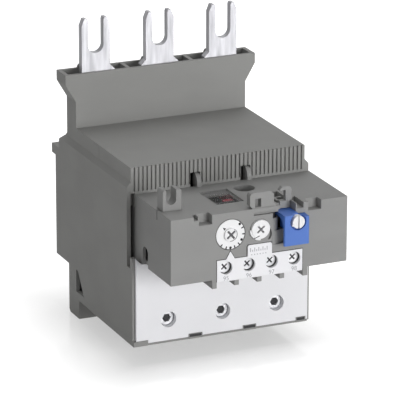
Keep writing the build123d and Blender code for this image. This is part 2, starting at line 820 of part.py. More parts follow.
# Forked busbars: each steps sideways from the fork's pitch to the terminal's pitch inside the shroud
bar_half = bar_w / 2
jog_high_h = bar_shoulder_h - bar_jog_top
jog_low_h = jog_high_h - bar_jog_h
for name, fork_x, cell_x in zip(pole_names, forks, cells):
    shoulder_left = fork_x - bar_half - (bar_shoulder_w if fork_x >= 0 else 0)
    shoulder_right = fork_x + bar_half + (bar_shoulder_w if fork_x <= 0 else 0)
    with BuildPart() as fork_bar:
        front(
            [(fork_x - bar_half, bar_top_h - bar_bevel_h), (fork_x - bar_half + bar_bevel_w, bar_top_h),
             (fork_x + bar_half - bar_bevel_w, bar_top_h), (fork_x + bar_half, bar_top_h - bar_bevel_h),
             (fork_x + bar_half, bar_neck_h), (shoulder_right, bar_shoulder_h), (shoulder_right, jog_high_h),
             (cell_x + bar_half, jog_low_h), (cell_x + bar_half, bar_under_h),
             (cell_x - bar_half, bar_under_h), (cell_x - bar_half, jog_low_h),
             (shoulder_left, jog_high_h), (shoulder_left, bar_shoulder_h), (fork_x - bar_half, bar_neck_h)],
            bar_back, bar_face)
        # Open fork with a flared mouth
        mouth_r = fork_slot_r + fork_flare
        front(
            [(fork_x - fork_slot_r, fork_centre_h), (fork_x - fork_slot_r, bar_top_h - 1.5 * fork_flare),
             (fork_x - mouth_r, bar_top_h + 1), (fork_x + mouth_r, bar_top_h + 1),
             (fork_x + fork_slot_r, bar_top_h - 1.5 * fork_flare), (fork_x + fork_slot_r, fork_centre_h)],
            bar_back - 1, bar_face + 1, Mode.SUBTRACT)
        discs([(fork_x, fork_centre_h)], fork_slot_r, bar_back - 1, bar_face + 1, Mode.SUBTRACT)
    finish(fork_bar.part, f"fork_bar_{name}")

# Bar feet: flat links that carry each pole's current forward from the busbar to the heater
for name, cell_x in zip(pole_names, cells):
    with BuildPart() as bar_foot:
        block((cell_x - bar_half, cell_x + bar_half), (bar_face, bar_tail_d), (bar_under_h, bar_bend_h))
    finish(bar_foot.part, f"bar_foot_{name}")

# Heater strips: a meander cut from flat resistance strip, standing between the bar foot and the outlet
heater_leg_h = (bar_under_h - tail_top_h) / (heater_turns + 1)
for name, cell_x in zip(pole_names, cells):
    heater_x = cell_x - heater_offset
    with BuildPart() as heater:
        block((heater_x - heater_t / 2, heater_x + heater_t / 2), (heater_back_d, heater_front_d),
              (tail_top_h, bar_under_h))
        for i in range(heater_turns):
            cut_h = tail_top_h + (i + 1) * heater_leg_h
            cut_back = (heater_back_d - 1, heater_front_d - heater_band)
            cut_front = (heater_back_d + heater_band, heater_front_d + 1)
            block((heater_x - heater_t, heater_x + heater_t), cut_back if i % 2 else cut_front,
                  (cut_h - heater_cut / 2, cut_h + heater_cut / 2), Mode.SUBTRACT)
    finish(heater.part, f"heater_{name}")

# Bimetal strips: each stands on its outlet bar, and its free tip pushes the slider
for name, cell_x in zip(pole_names, cells):
    foot_half = bimetal_t / 2 + bimetal_foot_t
    with BuildPart() as bimetal:
        block((cell_x - bimetal_t / 2, cell_x + bimetal_t / 2), (bimetal_back_d, bimetal_front_d),
              (tail_top_h, bimetal_top_h))
        block((cell_x - foot_half, cell_x + foot_half), (bimetal_back_d, bimetal_front_d),
              (tail_top_h, tail_top_h + bimetal_foot_h))
    finish(bimetal.part, f"bimetal_{name}")

# Outlet bars: the flat copper tongue that the cable is clamped against
for name, cell_x in zip(pole_names, cells):
    with BuildPart() as outlet_bar:
        side([(tail_back_d, tail_top_h), (tail_back_d, tail_top_h - tail_t),
              (tail_front_d - tail_t, tail_top_h - tail_t), (tail_front_d - tail_t, cage_low_h + 0.5),
              (tail_front_d, cage_low_h + 0.5), (tail_front_d, tail_top_h)],
             cell_x - bar_half, cell_x + bar_half)
        fillet(outlet_bar.edges().filter_by(Axis.X).group_by(Axis.Z)[-1].sort_by(Axis.Y)[0], tail_bend_r)
    finish(outlet_bar.part, f"outlet_bar_{name}")

# Box clamps: a screw in the nose pulls the rear wall, and the cable with it, up to the outlet bar
for name, cell_x in zip(pole_names, cells):
    with BuildPart() as clamp:
        block((cell_x - cage_half, cell_x + cage_half), (cage_rear_d, cage_nose_d), (cage_low_h, cage_top_h))
        fillet(clamp.edges().filter_by(Axis.Z).group_by(Axis.Y)[0], cage_nose_r)
        block((cell_x - cage_half + cage_side_t, cell_x + cage_half - cage_side_t),
              (cage_rear_d + cage_rear_t, cage_nose_d - cage_nose_t), (cage_low_h - 1, cage_top_h + 1),
              Mode.SUBTRACT)
        discs([(cell_x, screw_h)], clamp_screw_r + running_gap, cage_nose_d - cage_nose_t - 1, cage_nose_d + 1,
              Mode.SUBTRACT)
    finish(clamp.part, f"box_clamp_{name}")

# Clamp screws: hexagon socket set screws that bear on the outlet bars
for name, cell_x in zip(pole_names, cells):
    with BuildPart() as clamp_screw:
        discs([(cell_x, screw_h)], clamp_screw_r, tail_front_d + 0.02, screw_head_d)
        chamfer(clamp_screw.edges().filter_by(GeomType.CIRCLE).sort_by(Axis.Y)[0], clamp_screw_bevel)
        polygons([(cell_x, screw_h)], socket_af, 6, screw_head_d - socket_deep, screw_head_d + 1, Mode.SUBTRACT)
    finish(clamp_screw.part, f"clamp_screw_{name}")

# Outlet cover: pale plate with three driver holes, notched for the sill's lips
with BuildPart() as outlet_cover:
    front(
        [(cover_left, cover_low_h), (cover_right, cover_low_h), (cover_right, module_low_h - seat_gap),
         (module_left - shadow_gap, module_low_h - seat_gap), (cover_left, post_top_h)],
        base_front, cover_face)
    block((base_left + cover_lip_t + cover_gap, base_right - cover_lip_t - cover_gap),
          (base_front - cover_inset, base_front), (floor_t + cover_gap, room_h - cover_gap))
    for lip_start, lip_end in lip_spans:
        block((base_left + lip_start - cover_gap, base_left + lip_end + cover_gap),
              (base_front - 0.01, cover_face + 1), (0, lip_h + cover_gap), Mode.SUBTRACT)
    discs([(cell_x, screw_h) for cell_x in cells], cover_hole_r, base_front - cover_inset - 1, cover_face + 1,
          Mode.SUBTRACT)
finish(outlet_cover.part, "outlet_cover")

# Trip module casing: a shell open behind, whose rear rim plugs into the lower housing
pocket_floor_h = button_arm_h + shadow_gap
pocket_left = button_left - 1.45
pocket_right = pocket_left + pocket_w
pocket_back_d = module_front - latch_inset - 0.5 - pocket_len
channel_left = button_arm_right + 0.7
scoop_left = button_left - scoop_w - button_gap
scoop_floor_d = module_front - scoop_deep
slot_low_h = rod_h - spring_r - shadow_gap


def finger_scoop(grow, face_d, low_h, high_h, mode):
    """The rounded pocket behind the reset button's finger plate, enlarged outwards by `grow`."""
    left, right = scoop_left - grow, button_right + button_gap + grow
    floor_y, bend_x = fwd(scoop_floor_d - grow), button_left + 1
    with BuildSketch(Plane.XY.offset(up(low_h))) as outline:
        with BuildLine():
            Polyline((bend_x, floor_y), (right, floor_y), (right, fwd(face_d)), (left, fwd(face_d)),
                     (left, fwd(module_face)))
            ThreePointArc((left, fwd(module_face)),
                          (left + 0.45 * (bend_x - left), floor_y - 0.2 * (scoop_deep + grow)),
                          (bend_x, floor_y))
        make_face()
    extrude(outline.sketch, amount=high_h - low_h, mode=mode)


with BuildPart() as module_housing:
    block((module_left, module_right), (rib_face + slip_gap, module_front), (module_low_h, module_top_h))
    block((module_left, plug_right), (front_wall_face + shadow_gap, rib_face + seat_gap),
          (module_low_h, plug_top_h))
    block((module_left + module_wall, module_right - module_wall), (rib_face, module_face),
          (inner_low_h, inner_top_h), Mode.SUBTRACT)
    block((module_left + module_wall, plug_right - module_wall), (front_wall_face, rib_face + shadow_gap),
          (inner_low_h, plug_top_h - module_wall), Mode.SUBTRACT)
    # Dividers of the auxiliary terminal chambers, their ceiling, and the five legs below them
    for i, leg_x in enumerate(leg_xs):
        leg_face = module_front if i in (0, aux_count) else module_front - leg_sink
        block((leg_x - divider_t / 2, leg_x + divider_t / 2), (chamber_back_d, module_face + 0.5),
              (module_low_h + 1, chamber_top_h))
        block((leg_x - leg_w / 2, leg_x + leg_w / 2), (leg_back_d, leg_face), (leg_low_h, module_low_h + 1))
    block((leg_xs[0] - divider_t / 2, leg_xs[-1] + divider_t / 2), (chamber_back_d, module_face + 0.5),
          (chamber_top_h - ceiling_t, chamber_top_h))
    # Wire entries between the legs, and square driver windows behind the terminal plate
    entry_w = aux_pitch - leg_w - 1.1
    with BuildSketch(Plane.XY.offset(up(module_low_h - 1))) as wire_entries:
        with Locations(*[(x, fwd((aux_contact_front + washer_back_d) / 2 + 0.275)) for x in aux_xs]):
            Rectangle(entry_w, aux_wire_gap + 0.15)
    extrude(wire_entries.sketch, amount=module_roof_t + 1.5, mode=Mode.SUBTRACT)
    polygons([(x, aux_h) for x in aux_xs], 2 * aux_hole_r + 0.4, 4, module_face - 1, module_front + 1,
             Mode.SUBTRACT)
    # Wells of the dial and the selector, and the curved slot to the selector's right
    discs([(dial_x, dial_h)], dial_r + dial_well_gap, module_face - 1, module_front + 1, Mode.SUBTRACT)
    discs([(knob_x, knob_h)], knob_r + knob_well_gap, module_face - 1, module_front + 1, Mode.SUBTRACT)
    with BuildSketch(Plane.XZ.offset(-fwd(module_front - sweep_slot_deep))) as sweep_slot:
        with BuildLine():
            ThreePointArc((knob_x + 5.4, up(knob_h - 0.6)), (knob_x + sweep_slot_r, up(knob_h - 2.4)),
                          (knob_x + 5.3, up(knob_h - 6.0)))
            Line((knob_x + 5.3, up(knob_h - 6.0)), (knob_x + 4.3, up(knob_h - 6.0)))
            ThreePointArc((knob_x + 4.3, up(knob_h - 6.0)), (knob_x + 5.1, up(knob_h - 3.0)),
                          (knob_x + 5.4, up(knob_h - 0.6)))
        make_face()
    extrude(sweep_slot.sketch, amount=sweep_slot_deep + 1, mode=Mode.SUBTRACT)
    # Finger scoop round the reset button, with a slot for its arm and boss in the rear wall
    finger_scoop(scoop_wall, module_face + 0.5, button_low_h - button_gap - scoop_wall, undercut_h, Mode.ADD)
    block((channel_left - 0.5, channel_left + channel_w + 1), (module_front - channel_len - 1, module_face + 0.5),
          (button_top_h + button_gap, module_top_h - 1))
    finger_scoop(0, module_front + 1, button_low_h - button_gap, button_top_h + button_gap, Mode.SUBTRACT)
    block((scoop_left, button_arm_right + button_gap), (scoop_floor_d, module_front + 1),
          (button_top_h, undercut_h), Mode.SUBTRACT)
    block((button_left - button_gap, button_arm_right + button_gap),
          (scoop_floor_d - scoop_wall - 1, module_front + 1), (undercut_h - 0.1, module_top_h + 1), Mode.SUBTRACT)
    block((button_left - button_gap, button_right + button_gap),
          (scoop_floor_d - scoop_wall - 1, scoop_floor_d + 1), (slot_low_h, button_top_h + button_gap),
          Mode.SUBTRACT)
    block((button_left - button_gap, button_arm_right + button_gap),
          (scoop_floor_d - scoop_wall - 1, scoop_floor_d + 1), (button_top_h, undercut_h), Mode.SUBTRACT)
    discs([(stop_x, stop_h)], stop_r + shadow_gap, scoop_floor_d - scoop_wall - 1, module_front + 1,
          Mode.SUBTRACT)
    # Recess for the auxiliary terminal plate
    tip_h = plate_top_h + pointer_h + seat_gap
    rim_left, rim_right = plate_left - seat_gap, plate_right + seat_gap
    rim_low, rim_top = plate_low_h - seat_gap, plate_top_h + seat_gap
    front([(rim_left, rim_low), (rim_right, rim_low), (rim_right, rim_top), (tag_right + seat_gap, rim_top),
           (tag_right + seat_gap, tag_top_h + seat_gap), (tag_left - seat_gap, tag_top_h + seat_gap),
           (tag_left - seat_gap, rim_top), (dial_x + pointer_half + slip_gap, rim_top), (dial_x, tip_h),
           (dial_x - pointer_half - slip_gap, rim_top), (rim_left, rim_top)],
          module_front - plate_t, module_front + 1, Mode.SUBTRACT)
    # Undercut below the label tab, the two corner pockets with their linings, and the nick
    block((tab_left + 1.9, button_left), (module_front - tab_cut_h, module_front + 1),
          (undercut_h, undercut_h + tab_cut_h), Mode.SUBTRACT)
    for pocket_x in corner_pocket_x:
        pocket_low_h = module_top_h - corner_pocket_h
        block((pocket_x - 1.2, pocket_x + corner_pocket_w + 1.2),
              (module_front - corner_pocket_deep - 1.5, module_face + 0.5), (pocket_low_h - 1.3, module_top_h - 1))
        block((pocket_x, pocket_x + corner_pocket_w), (module_front - corner_pocket_deep, module_front + 1),
              (pocket_low_h, module_top_h + 1), Mode.SUBTRACT)
    block((nick_left, nick_left + nick_w), (module_front - nick_deep, module_front + 1),
          (module_top_h - nick_h, module_top_h + 1), Mode.SUBTRACT)
    # Channel to the right of the tabs
    block((channel_left, channel_left + channel_w), (module_front - channel_len, module_front + 1),
          (module_top_h - channel_deep, module_top_h + 1), Mode.SUBTRACT)
    # Round well in the roof
    well_out = well_r + well_wall
    block((well_x - well_out, well_x + well_out), (well_centre_d - well_out, well_centre_d + well_out),
          (module_top_h - well_deep - 1.2, module_top_h - 1))
    wells([(well_x, well_centre_d)], well_r, module_top_h - well_deep, module_top_h + 1, Mode.SUBTRACT)
    # Seat and opening of the status window
    block((window_left, window_right), (window_back_d, window_front_d),
          (module_top_h - window_t, module_top_h + 1), Mode.SUBTRACT)
    block((window_left + window_ledge, window_right - window_ledge / 2),
          (window_back_d + 2 * window_ledge, window_front_d - window_ledge / 2),
          (module_top_h - module_roof_t - 1, module_top_h), Mode.SUBTRACT)
    # Pocket behind the tabs, with a cross of two ribs
    block((pocket_left, pocket_right), (pocket_back_d, pocket_back_d + pocket_len),
          (pocket_floor_h, module_top_h - 1))
    block((pocket_left + pocket_wall, pocket_right - pocket_wall),
          (pocket_back_d + pocket_wall, pocket_back_d + pocket_len - pocket_wall),
          (pocket_floor_h + pocket_wall, module_top_h + 1), Mode.SUBTRACT)
    cross_x, cross_d = latch_x + cross_t / 2, pocket_back_d + pocket_len / 2
    block((cross_x - cross_t / 2, cross_x + cross_t / 2), (cross_d - pocket_len / 3, cross_d + pocket_len / 3),
          (pocket_floor_h, module_top_h - 0.6))
    block((pocket_left + 1.9, pocket_right - 1.9), (cross_d - cross_t / 2, cross_d + cross_t / 2),
          (pocket_floor_h, module_top_h - 0.6))
    # Label tab on the front edge, and the latch tab behind it
    tab_front_d = module_front - tab_inset
    tab_low_h, tab_top_h = module_top_h + tab_lift, module_top_h + tab_rise
    front([(tab_left, tab_low_h), (tab_left + 1.8, module_top_h - 0.5), (tab_right, module_top_h - 0.5),
           (tab_right, tab_top_h - tab_bevel), (tab_right - tab_bevel, tab_top_h),
           (tab_left + 2.1, tab_top_h), (tab_left + 0.6, tab_top_h - 0.4), (tab_left, tab_top_h - 1.5)],
          tab_front_d - tab_t, tab_front_d)
    block((tab_right, tab_right + cross_t), (tab_front_d - tab_t, tab_front_d),
          (module_top_h - 0.5, tab_low_h))
    block((tab_left + tab_eye_left, tab_left + tab_eye_left + tab_eye_w), (tab_front_d - tab_t - 1, module_front),
          (module_top_h + tab_eye_low, module_top_h + tab_eye_low + tab_eye_h), Mode.SUBTRACT)
    latch_front_d, latch_top_h = module_front - latch_inset, module_top_h + latch_rise
    latch_right = latch_x + latch_w
    front([(latch_x, pocket_floor_h), (latch_right, pocket_floor_h), (latch_right, latch_top_h - latch_bevel),
           (latch_right - latch_bevel, latch_top_h), (latch_x + latch_bevel, latch_top_h),
           (latch_x, latch_top_h - latch_bevel)], latch_front_d - latch_t, latch_front_d)
    block((latch_x - 1, latch_x + latch_eye_w), (latch_front_d - latch_t - 1, latch_front_d + 1),
          (module_top_h, module_top_h + latch_eye_h), Mode.SUBTRACT)
    # Seat and socket of the cable guide, and the slit in the wall beside it
    block((guide_left - shadow_gap, guide_right + shadow_gap), (guide_back_d - shadow_gap, guide_front_d + shadow_gap),
          (module_top_h - guide_sink, module_top_h + 1), Mode.SUBTRACT)
    peg_edge = guide_peg - slip_gap
    block((guide_left + peg_edge, guide_right - peg_edge), (guide_back_d + peg_edge, guide_front_d - peg_edge),
          (module_top_h - guide_peg_deep, module_top_h + 1), Mode.SUBTRACT)
    block((module_left - 1, module_left + 1.3), (guide_back_d + 3.2, guide_back_d + 3.2 + guide_slit_w),
          (module_top_h - guide_slit_h, module_top_h + 1), Mode.SUBTRACT)
    # Arched opening in the left wall
    arch_top = up(module_low_h + arch_h)
    with BuildSketch(Plane.YZ.offset(module_left - 1)) as arch:
        with Locations((fwd(rib_face + arch_d), arch_top - arch_r)):
            Circle(arch_r)
        with Locations((fwd(rib_face + arch_d), arch_top - arch_r - arch_h / 2)):
            Rectangle(2 * arch_r, arch_h)
    extrude(arch.sketch, amount=module_wall + 1.1, mode=Mode.SUBTRACT)
    # Hooks that reach into the ribbed front's slots
    for slot_x in hook_x:
        hook_left = slot_x + hook_slot_w - hook_t - seat_gap
        with BuildSketch(Plane.YZ.offset(hook_left)) as hook:
            with BuildLine():
                Polyline((fwd(rib_face + hook_out), up(module_top_h + 2.0)),
                         (fwd(rib_face + hook_out), up(inner_top_h)), (fwd(rib_face - hook_in), up(inner_top_h)),
                         (fwd(rib_face - hook_in), up(module_top_h + hook_rise)))
                ThreePointArc((fwd(rib_face - hook_in), up(module_top_h + hook_rise)),
                              (fwd(rib_face + 0.5), up(module_top_h + 0.8 * hook_rise)),
                              (fwd(rib_face + hook_out), up(module_top_h + 2.0)))
            make_face()
        extrude(hook.sketch, amount=hook_t)
    # Screw holes in the rim's floor
    wells(module_screw_spots, module_screw_r + 0.45, module_low_h - 1, inner_low_h + 1, Mode.SUBTRACT)
finish(module_housing.part, "module_housing")

# Two screws that hold the trip module down on the housing's shelf
with BuildPart() as module_screws:
    upright_prisms(module_screw_spots, module_head_af, 6, inner_low_h, inner_low_h + module_head_t)
    wells(module_screw_spots, module_screw_r, shelf_top_h - module_screw_bite, inner_low_h + 0.1)
finish(module_screws.part, "module_screws")

# Inner frame: the bearing plate of the dial, the selector and the button rod
frame_left, frame_right = module_left + module_wall + seat_gap, module_right - module_wall - seat_gap
with BuildPart() as inner_frame:
    block((frame_left, frame_right), (frame_back_d, frame_front_d), (inner_low_h + seat_gap, inner_top_h - seat_gap))
    for shaft_x, shaft_h, shaft_r in ((dial_x, dial_h, dial_shaft_r), (knob_x, knob_h, knob_shaft_r),
                                      (rod_x, rod_h, rod_r)):
        polygons([(shaft_x, shaft_h)], 2 * shaft_r + 3.2, 4, frame_back_d - frame_boss, frame_front_d)
        discs([(shaft_x, shaft_h)], shaft_r + running_gap, frame_back_d - 3, frame_front_d + 1, Mode.SUBTRACT)
    shelf_edge_h = flag_low_h - shadow_gap
    block((flag_left - flag_w - 3.5, flag_right + 2), (flag_back_d - 1.5, frame_back_d + 0.5),
          (shelf_edge_h - flag_shelf_t, shelf_edge_h))
    block((pocket_left - shadow_gap, pocket_right + shadow_gap), (frame_back_d - 2, frame_front_d + 1),
          (button_arm_h, module_top_h), Mode.SUBTRACT)
finish(inner_frame.part, "inner_frame")

# Back plate of the trip module with the two cradles of the contact carrier and the lever's pin
with BuildPart() as module_back:
    block((frame_left, frame_right), (back_plate_d, back_plate_front), (inner_low_h + seat_gap, inner_top_h - seat_gap))
    for cradle_x in cradle_xs:
        side([(back_plate_d + 1, carrier_low_h - 2.2), (carrier_front_d + 2, carrier_low_h - 2.2),
              (carrier_front_d + 2, carrier_low_h + 2), (carrier_front_d + shadow_gap, carrier_low_h + 2),
              (carrier_front_d + shadow_gap, carrier_low_h - shadow_gap),
              (back_plate_d + 1, carrier_low_h - shadow_gap)], cradle_x - stem_half, cradle_x + stem_half)
    block((arm_left - 0.5, arm_right + slider_travel + 0.5), (back_plate_d - 1, back_plate_front + 1),
          (slider_low_h - shadow_gap, slider_top_h + shadow_gap), Mode.SUBTRACT)
    discs([(lever_x, lever_h)], lever_pin_r + 1.2, back_plate_d + 1, lever_back_d - seat_gap)
    discs([(lever_x, lever_h)], lever_pin_r, back_plate_d + 1, lever_front_d + 1)
finish(module_back.part, "module_back")

# Slider: one bar across the three poles, with a finger behind each bimetal tip and an arm to the module
with BuildPart() as slider:
    block((slider_left, slider_right), (slider_back_d, slider_front_d), (slider_low_h, slider_top_h))
    for cell_x in cells:
        finger_x = cell_x + bimetal_t / 2 + finger_gap
        block((finger_x, finger_x + finger_t), (bimetal_back_d + 2, slider_front_d), (slider_low_h, slider_top_h))
    block((arm_left, arm_right), (slider_back_d, lever_front_d), (slider_low_h, slider_top_h))
finish(slider.part, "slider")

# Trip lever: turned by the slider's arm about the pin on the module's back plate
lever_left, lever_right = lever_x - lever_half, lever_x + lever_half
push_x = lever_x - lever_push
with BuildPart() as trip_lever:
    front([(lever_left, lever_h - 3.5), (lever_right, lever_h - 3.5), (lever_right, carrier_top_h + 1),
           (push_x + lever_tip_w, slider_top_h + 2), (push_x, slider_top_h + 2), (push_x, slider_low_h - 1),
           (lever_left, slider_low_h - 3)],
          lever_back_d, lever_front_d)
    discs([(lever_x, lever_h)], lever_pin_r + running_gap, lever_back_d - 1, lever_front_d + 1, Mode.SUBTRACT)
finish(trip_lever.part, "trip_lever")

# Compensating bimetal, riveted to the lever
with BuildPart() as compensator:
    block((lever_x - 1.5, lever_x - 1.5 + compensator_w), (lever_front_d, lever_front_d + compensator_t),
          (lever_h + 4, lever_h + 4 + compensator_h))
finish(compensator.part, "compensator")

# Contact carrier: a bar with two stems, and a dog that the lever's edge pushes
with BuildPart() as contact_carrier:
    block((carrier_left, carrier_right), (carrier_back_d, carrier_front_d), (carrier_low_h, carrier_top_h))
    block((carrier_right - carrier_dog_w, carrier_right), (lever_back_d, carrier_front_d),
          (carrier_low_h, carrier_top_h))
    for stem_x in (nc_stem_x, no_stem_x):
        block((stem_x - stem_half, stem_x + stem_half), (carrier_back_d, carrier_front_d),
              (carrier_low_h, carrier_top_h + carrier_h))
finish(contact_carrier.part, "contact_carrier")

# Moving contacts: the opening one on the left of its stem, the closing one on the right
blade_spots = (nc_stem_x - stem_half - blade_t, no_stem_x + stem_half)
with BuildPart() as moving_contacts:
    for blade_x in blade_spots:
        block((blade_x, blade_x + blade_t), (carrier_back_d - blade_reach, carrier_front_d),
              (carrier_top_h, carrier_top_h + carrier_h))
finish(moving_contacts.part, "moving_contacts")

# Fixed contact strips, standing on the module's floor
strip_spots = (blade_spots[0] - slip_gap - strip_t, blade_spots[1] + blade_t + contact_travel + slip_gap)
with BuildPart() as fixed_contacts:
    for strip_x in strip_spots:
        block((strip_x, strip_x + strip_t), (carrier_back_d - blade_reach, carrier_back_d - blade_reach + strip_w),
              (inner_low_h, carrier_top_h + carrier_h + 1))
finish(fixed_contacts.part, "fixed_contacts")

# Trip flag below its window
with BuildPart() as trip_flag:
    block((flag_left, flag_right), (flag_back_d, flag_front_d), (flag_low_h, flag_top_h))
    block((flag_left - flag_foot, flag_right + flag_foot), (flag_back_d - 0.5, flag_front_d + shadow_gap),
          (flag_low_h, flag_low_h + flag_foot_h))
finish(trip_flag.part, "trip_flag")

# Status window: a clear pane with a bevelled front edge
with BuildPart() as status_window:
    block((window_left + slip_gap, window_right - slip_gap), (window_back_d + slip_gap, window_front_d - slip_gap),
          (module_top_h - window_t, module_top_h - slip_gap))
    chamfer(status_window.edges().filter_by(Axis.X).group_by(Axis.Z)[-1].sort_by(Axis.Y)[-1], window_bevel)
finish(status_window.part, "status_window")

# Cable guide: a U-shaped saddle plugged into the module's roof
guide_base_h, guide_top_h = module_top_h - guide_sink, module_top_h + guide_rise
notch_x, notch_h = guide_left + guide_notch_x, module_top_h + guide_notch_rise
with BuildPart() as cable_guide:
    front([(guide_left, guide_base_h), (guide_right, guide_base_h), (guide_right, guide_top_h - 0.6),
           (guide_right - 0.6, guide_top_h), (guide_left + 0.6, guide_top_h), (guide_left, guide_top_h - 0.6)],
          guide_back_d, guide_front_d)
    discs([(notch_x, notch_h)], guide_notch_r, guide_back_d - 1, guide_front_d + 1, Mode.SUBTRACT)
    block((notch_x - guide_notch_r, notch_x + guide_notch_r), (guide_back_d - 1, guide_front_d + 1),
          (notch_h, guide_top_h + 1), Mode.SUBTRACT)
    block((guide_left + guide_peg, guide_right - guide_peg), (guide_back_d + guide_peg, guide_front_d - guide_peg),
          (module_top_h - guide_peg_deep, guide_base_h + 0.1))
finish(cable_guide.part, "cable_guide")

# Auxiliary terminal plate with the dial's pointer and the selector's tag
with BuildPart() as aux_plate:
    front([(plate_left, plate_low_h), (plate_right, plate_low_h), (plate_right, plate_top_h),
           (tag_right, plate_top_h), (tag_right, tag_top_h - tag_bevel), (tag_right - tag_bevel, tag_top_h),
           (tag_left + tag_bevel, tag_top_h), (tag_left, tag_top_h - tag_bevel), (tag_left, plate_top_h),
           (dial_x + pointer_half, plate_top_h), (dial_x, plate_top_h + pointer_h),
           (dial_x - pointer_half, plate_top_h), (plate_left, plate_top_h)],
          module_front - plate_t, module_front + plate_proud)
    discs([(x, aux_h) for x in aux_xs], aux_hole_r, module_front - plate_t - 1, module_front + 1, Mode.SUBTRACT)
finish(aux_plate.part, "aux_plate")

# Auxiliary terminals: screw, square clamp washer and threaded contact plate for each wire
for i, aux_x in enumerate(aux_xs):
    with BuildPart() as aux_screw:
        discs([(aux_x, aux_h)], aux_shank_r, aux_shank_end_d, aux_seat_d + 0.1)
        discs([(aux_x, aux_h)], aux_head_r, aux_seat_d, aux_head_d)
        cross_recess(aux_x, aux_h, 3.8, 0.8, aux_head_d - 1.4, aux_head_d + 1)
    finish(aux_screw.part, f"aux_screw_{i + 1}")

with BuildPart() as aux_washers:
    for aux_x in aux_xs:
        block((aux_x - washer_half, aux_x + washer_half), (washer_back_d, aux_seat_d - 0.02),
              (aux_h - washer_half + 0.5, aux_h + washer_half))
    polygons([(x, aux_h) for x in aux_xs], 2 * washer_hole_r, 8, washer_back_d - 1, aux_head_d, Mode.SUBTRACT)
finish(aux_washers.part, "aux_washers")

with BuildPart() as aux_contacts:
    for aux_x in aux_xs:
        block((aux_x - aux_contact_w / 2, aux_x + aux_contact_w / 2), (aux_contact_back, aux_contact_front),
              (inner_low_h, chamber_top_h - ceiling_t - seat_gap))
    discs([(x, aux_h) for x in aux_xs], aux_shank_r + running_gap, aux_contact_back - 1, aux_contact_front + 1,
          Mode.SUBTRACT)
finish(aux_contacts.part, "aux_contacts")

# Setting dial with its shaft, and the spiral cam at the shaft's end
with BuildPart() as current_dial:
    discs([(dial_x, dial_h)], dial_r, dial_back_d, module_front)
    discs([(dial_x, dial_h)], dial_hub_r, module_front - 0.1, module_front + dial_hub_out)
    discs([(dial_x, dial_h)], dial_shaft_r, frame_back_d - 1, dial_back_d + 0.5)
    cross_recess(dial_x, dial_h, 5.4, 1.1, module_front + dial_hub_out - 1.7, module_front + 2)
finish(current_dial.part, "current_dial")

with BuildPart() as dial_cam:
    spiral = [(cam_r + cam_lift * i / cam_steps, 2 * math.pi * i / cam_steps) for i in range(cam_steps)]
    front([(dial_x + r * math.cos(turn), dial_h + r * math.sin(turn)) for r, turn in spiral],
          cam_back_d, cam_back_d + cam_t)
    discs([(dial_x, dial_h)], dial_shaft_r + 0.02, cam_back_d - 1, cam_back_d + cam_t + 1, Mode.SUBTRACT)
finish(dial_cam.part, "dial_cam")

# Selector knob: a round head with a lobe over the casing's face, on its shaft
knob_face = module_front + knob_out
with BuildPart() as selector_knob:
    discs([(knob_x, knob_h)], knob_r, knob_back_d, knob_face)
    with BuildSketch(Plane.XZ.offset(-fwd(module_front + cover_gap))) as lobe:
        with BuildLine():
            CenterArc((knob_x, up(knob_h)), knob_lobe_r, 180, 90)
            Line((knob_x, up(knob_h) - knob_lobe_r), (knob_x, up(knob_h)))
            Line((knob_x, up(knob_h)), (knob_x - knob_lobe_r, up(knob_h)))
        make_face()
    extrude(lobe.sketch, amount=knob_lobe_t)
    discs([(knob_x, knob_h)], knob_shaft_r, frame_back_d - 2, knob_back_d + 0.5)
    cross_recess(knob_x, knob_h, 4.8, 0.9, knob_face - 1.2, knob_face + 1)
finish(selector_knob.part, "selector_knob")

# Reset button: a finger plate that curves back into an arm, with a boss on a guide rod behind it
plate_back_d = button_face - button_plate_t
arm_low_h = button_arm_h - button_arm_t
curve_d, curve_h = plate_back_d - button_curve_r, arm_low_h - button_curve_r
curve_mid = button_curve_r * math.sqrt(0.5)
boss_half = stop_well_r + boss_wall
with BuildPart() as reset_button:
    with BuildSketch(Plane.YZ.offset(button_left)) as paddle:
        with BuildLine():
            Polyline((fwd(plate_back_d), up(curve_h)), (fwd(plate_back_d), up(button_low_h)),
                     (fwd(button_face), up(button_low_h)), (fwd(button_face), up(button_arm_h)),
                     (fwd(button_arm_back), up(button_arm_h)), (fwd(button_arm_back), up(arm_low_h)),
                     (fwd(curve_d), up(arm_low_h)))
            ThreePointArc((fwd(curve_d), up(arm_low_h)), (fwd(curve_d + curve_mid), up(curve_h + curve_mid)),
                          (fwd(plate_back_d), up(curve_h)))
        make_face()
    extrude(paddle.sketch, amount=button_w)
    fillet(reset_button.edges().filter_by(Axis.Z).group_by(Axis.Y)[0], button_edge_r)
    block((stop_x - boss_half, button_right), (boss_back, plate_back_d + 0.1), (stop_h - boss_half, button_top_h))
    block((button_arm_right, button_right + 1), (button_arm_back - 1, button_face + 1),
          (button_top_h, button_arm_h + 1), Mode.SUBTRACT)
    block((button_arm_right, button_right + 1), (button_arm_back - 1, boss_back), (arm_low_h - 1, button_arm_h),
          Mode.SUBTRACT)
    discs([(rod_x, rod_h)], rod_r, frame_back_d - rod_reach, boss_back + 1)
    discs([(stop_x, stop_h)], stop_well_r, stop_seat_d - slip_gap, button_face + 1, Mode.SUBTRACT)
    discs([(stop_x, stop_h)], stop_shaft_r + running_gap, stop_seat_d - slip_gap - stop_shaft_len, button_face,
          Mode.SUBTRACT)
finish(reset_button.part, "reset_button")

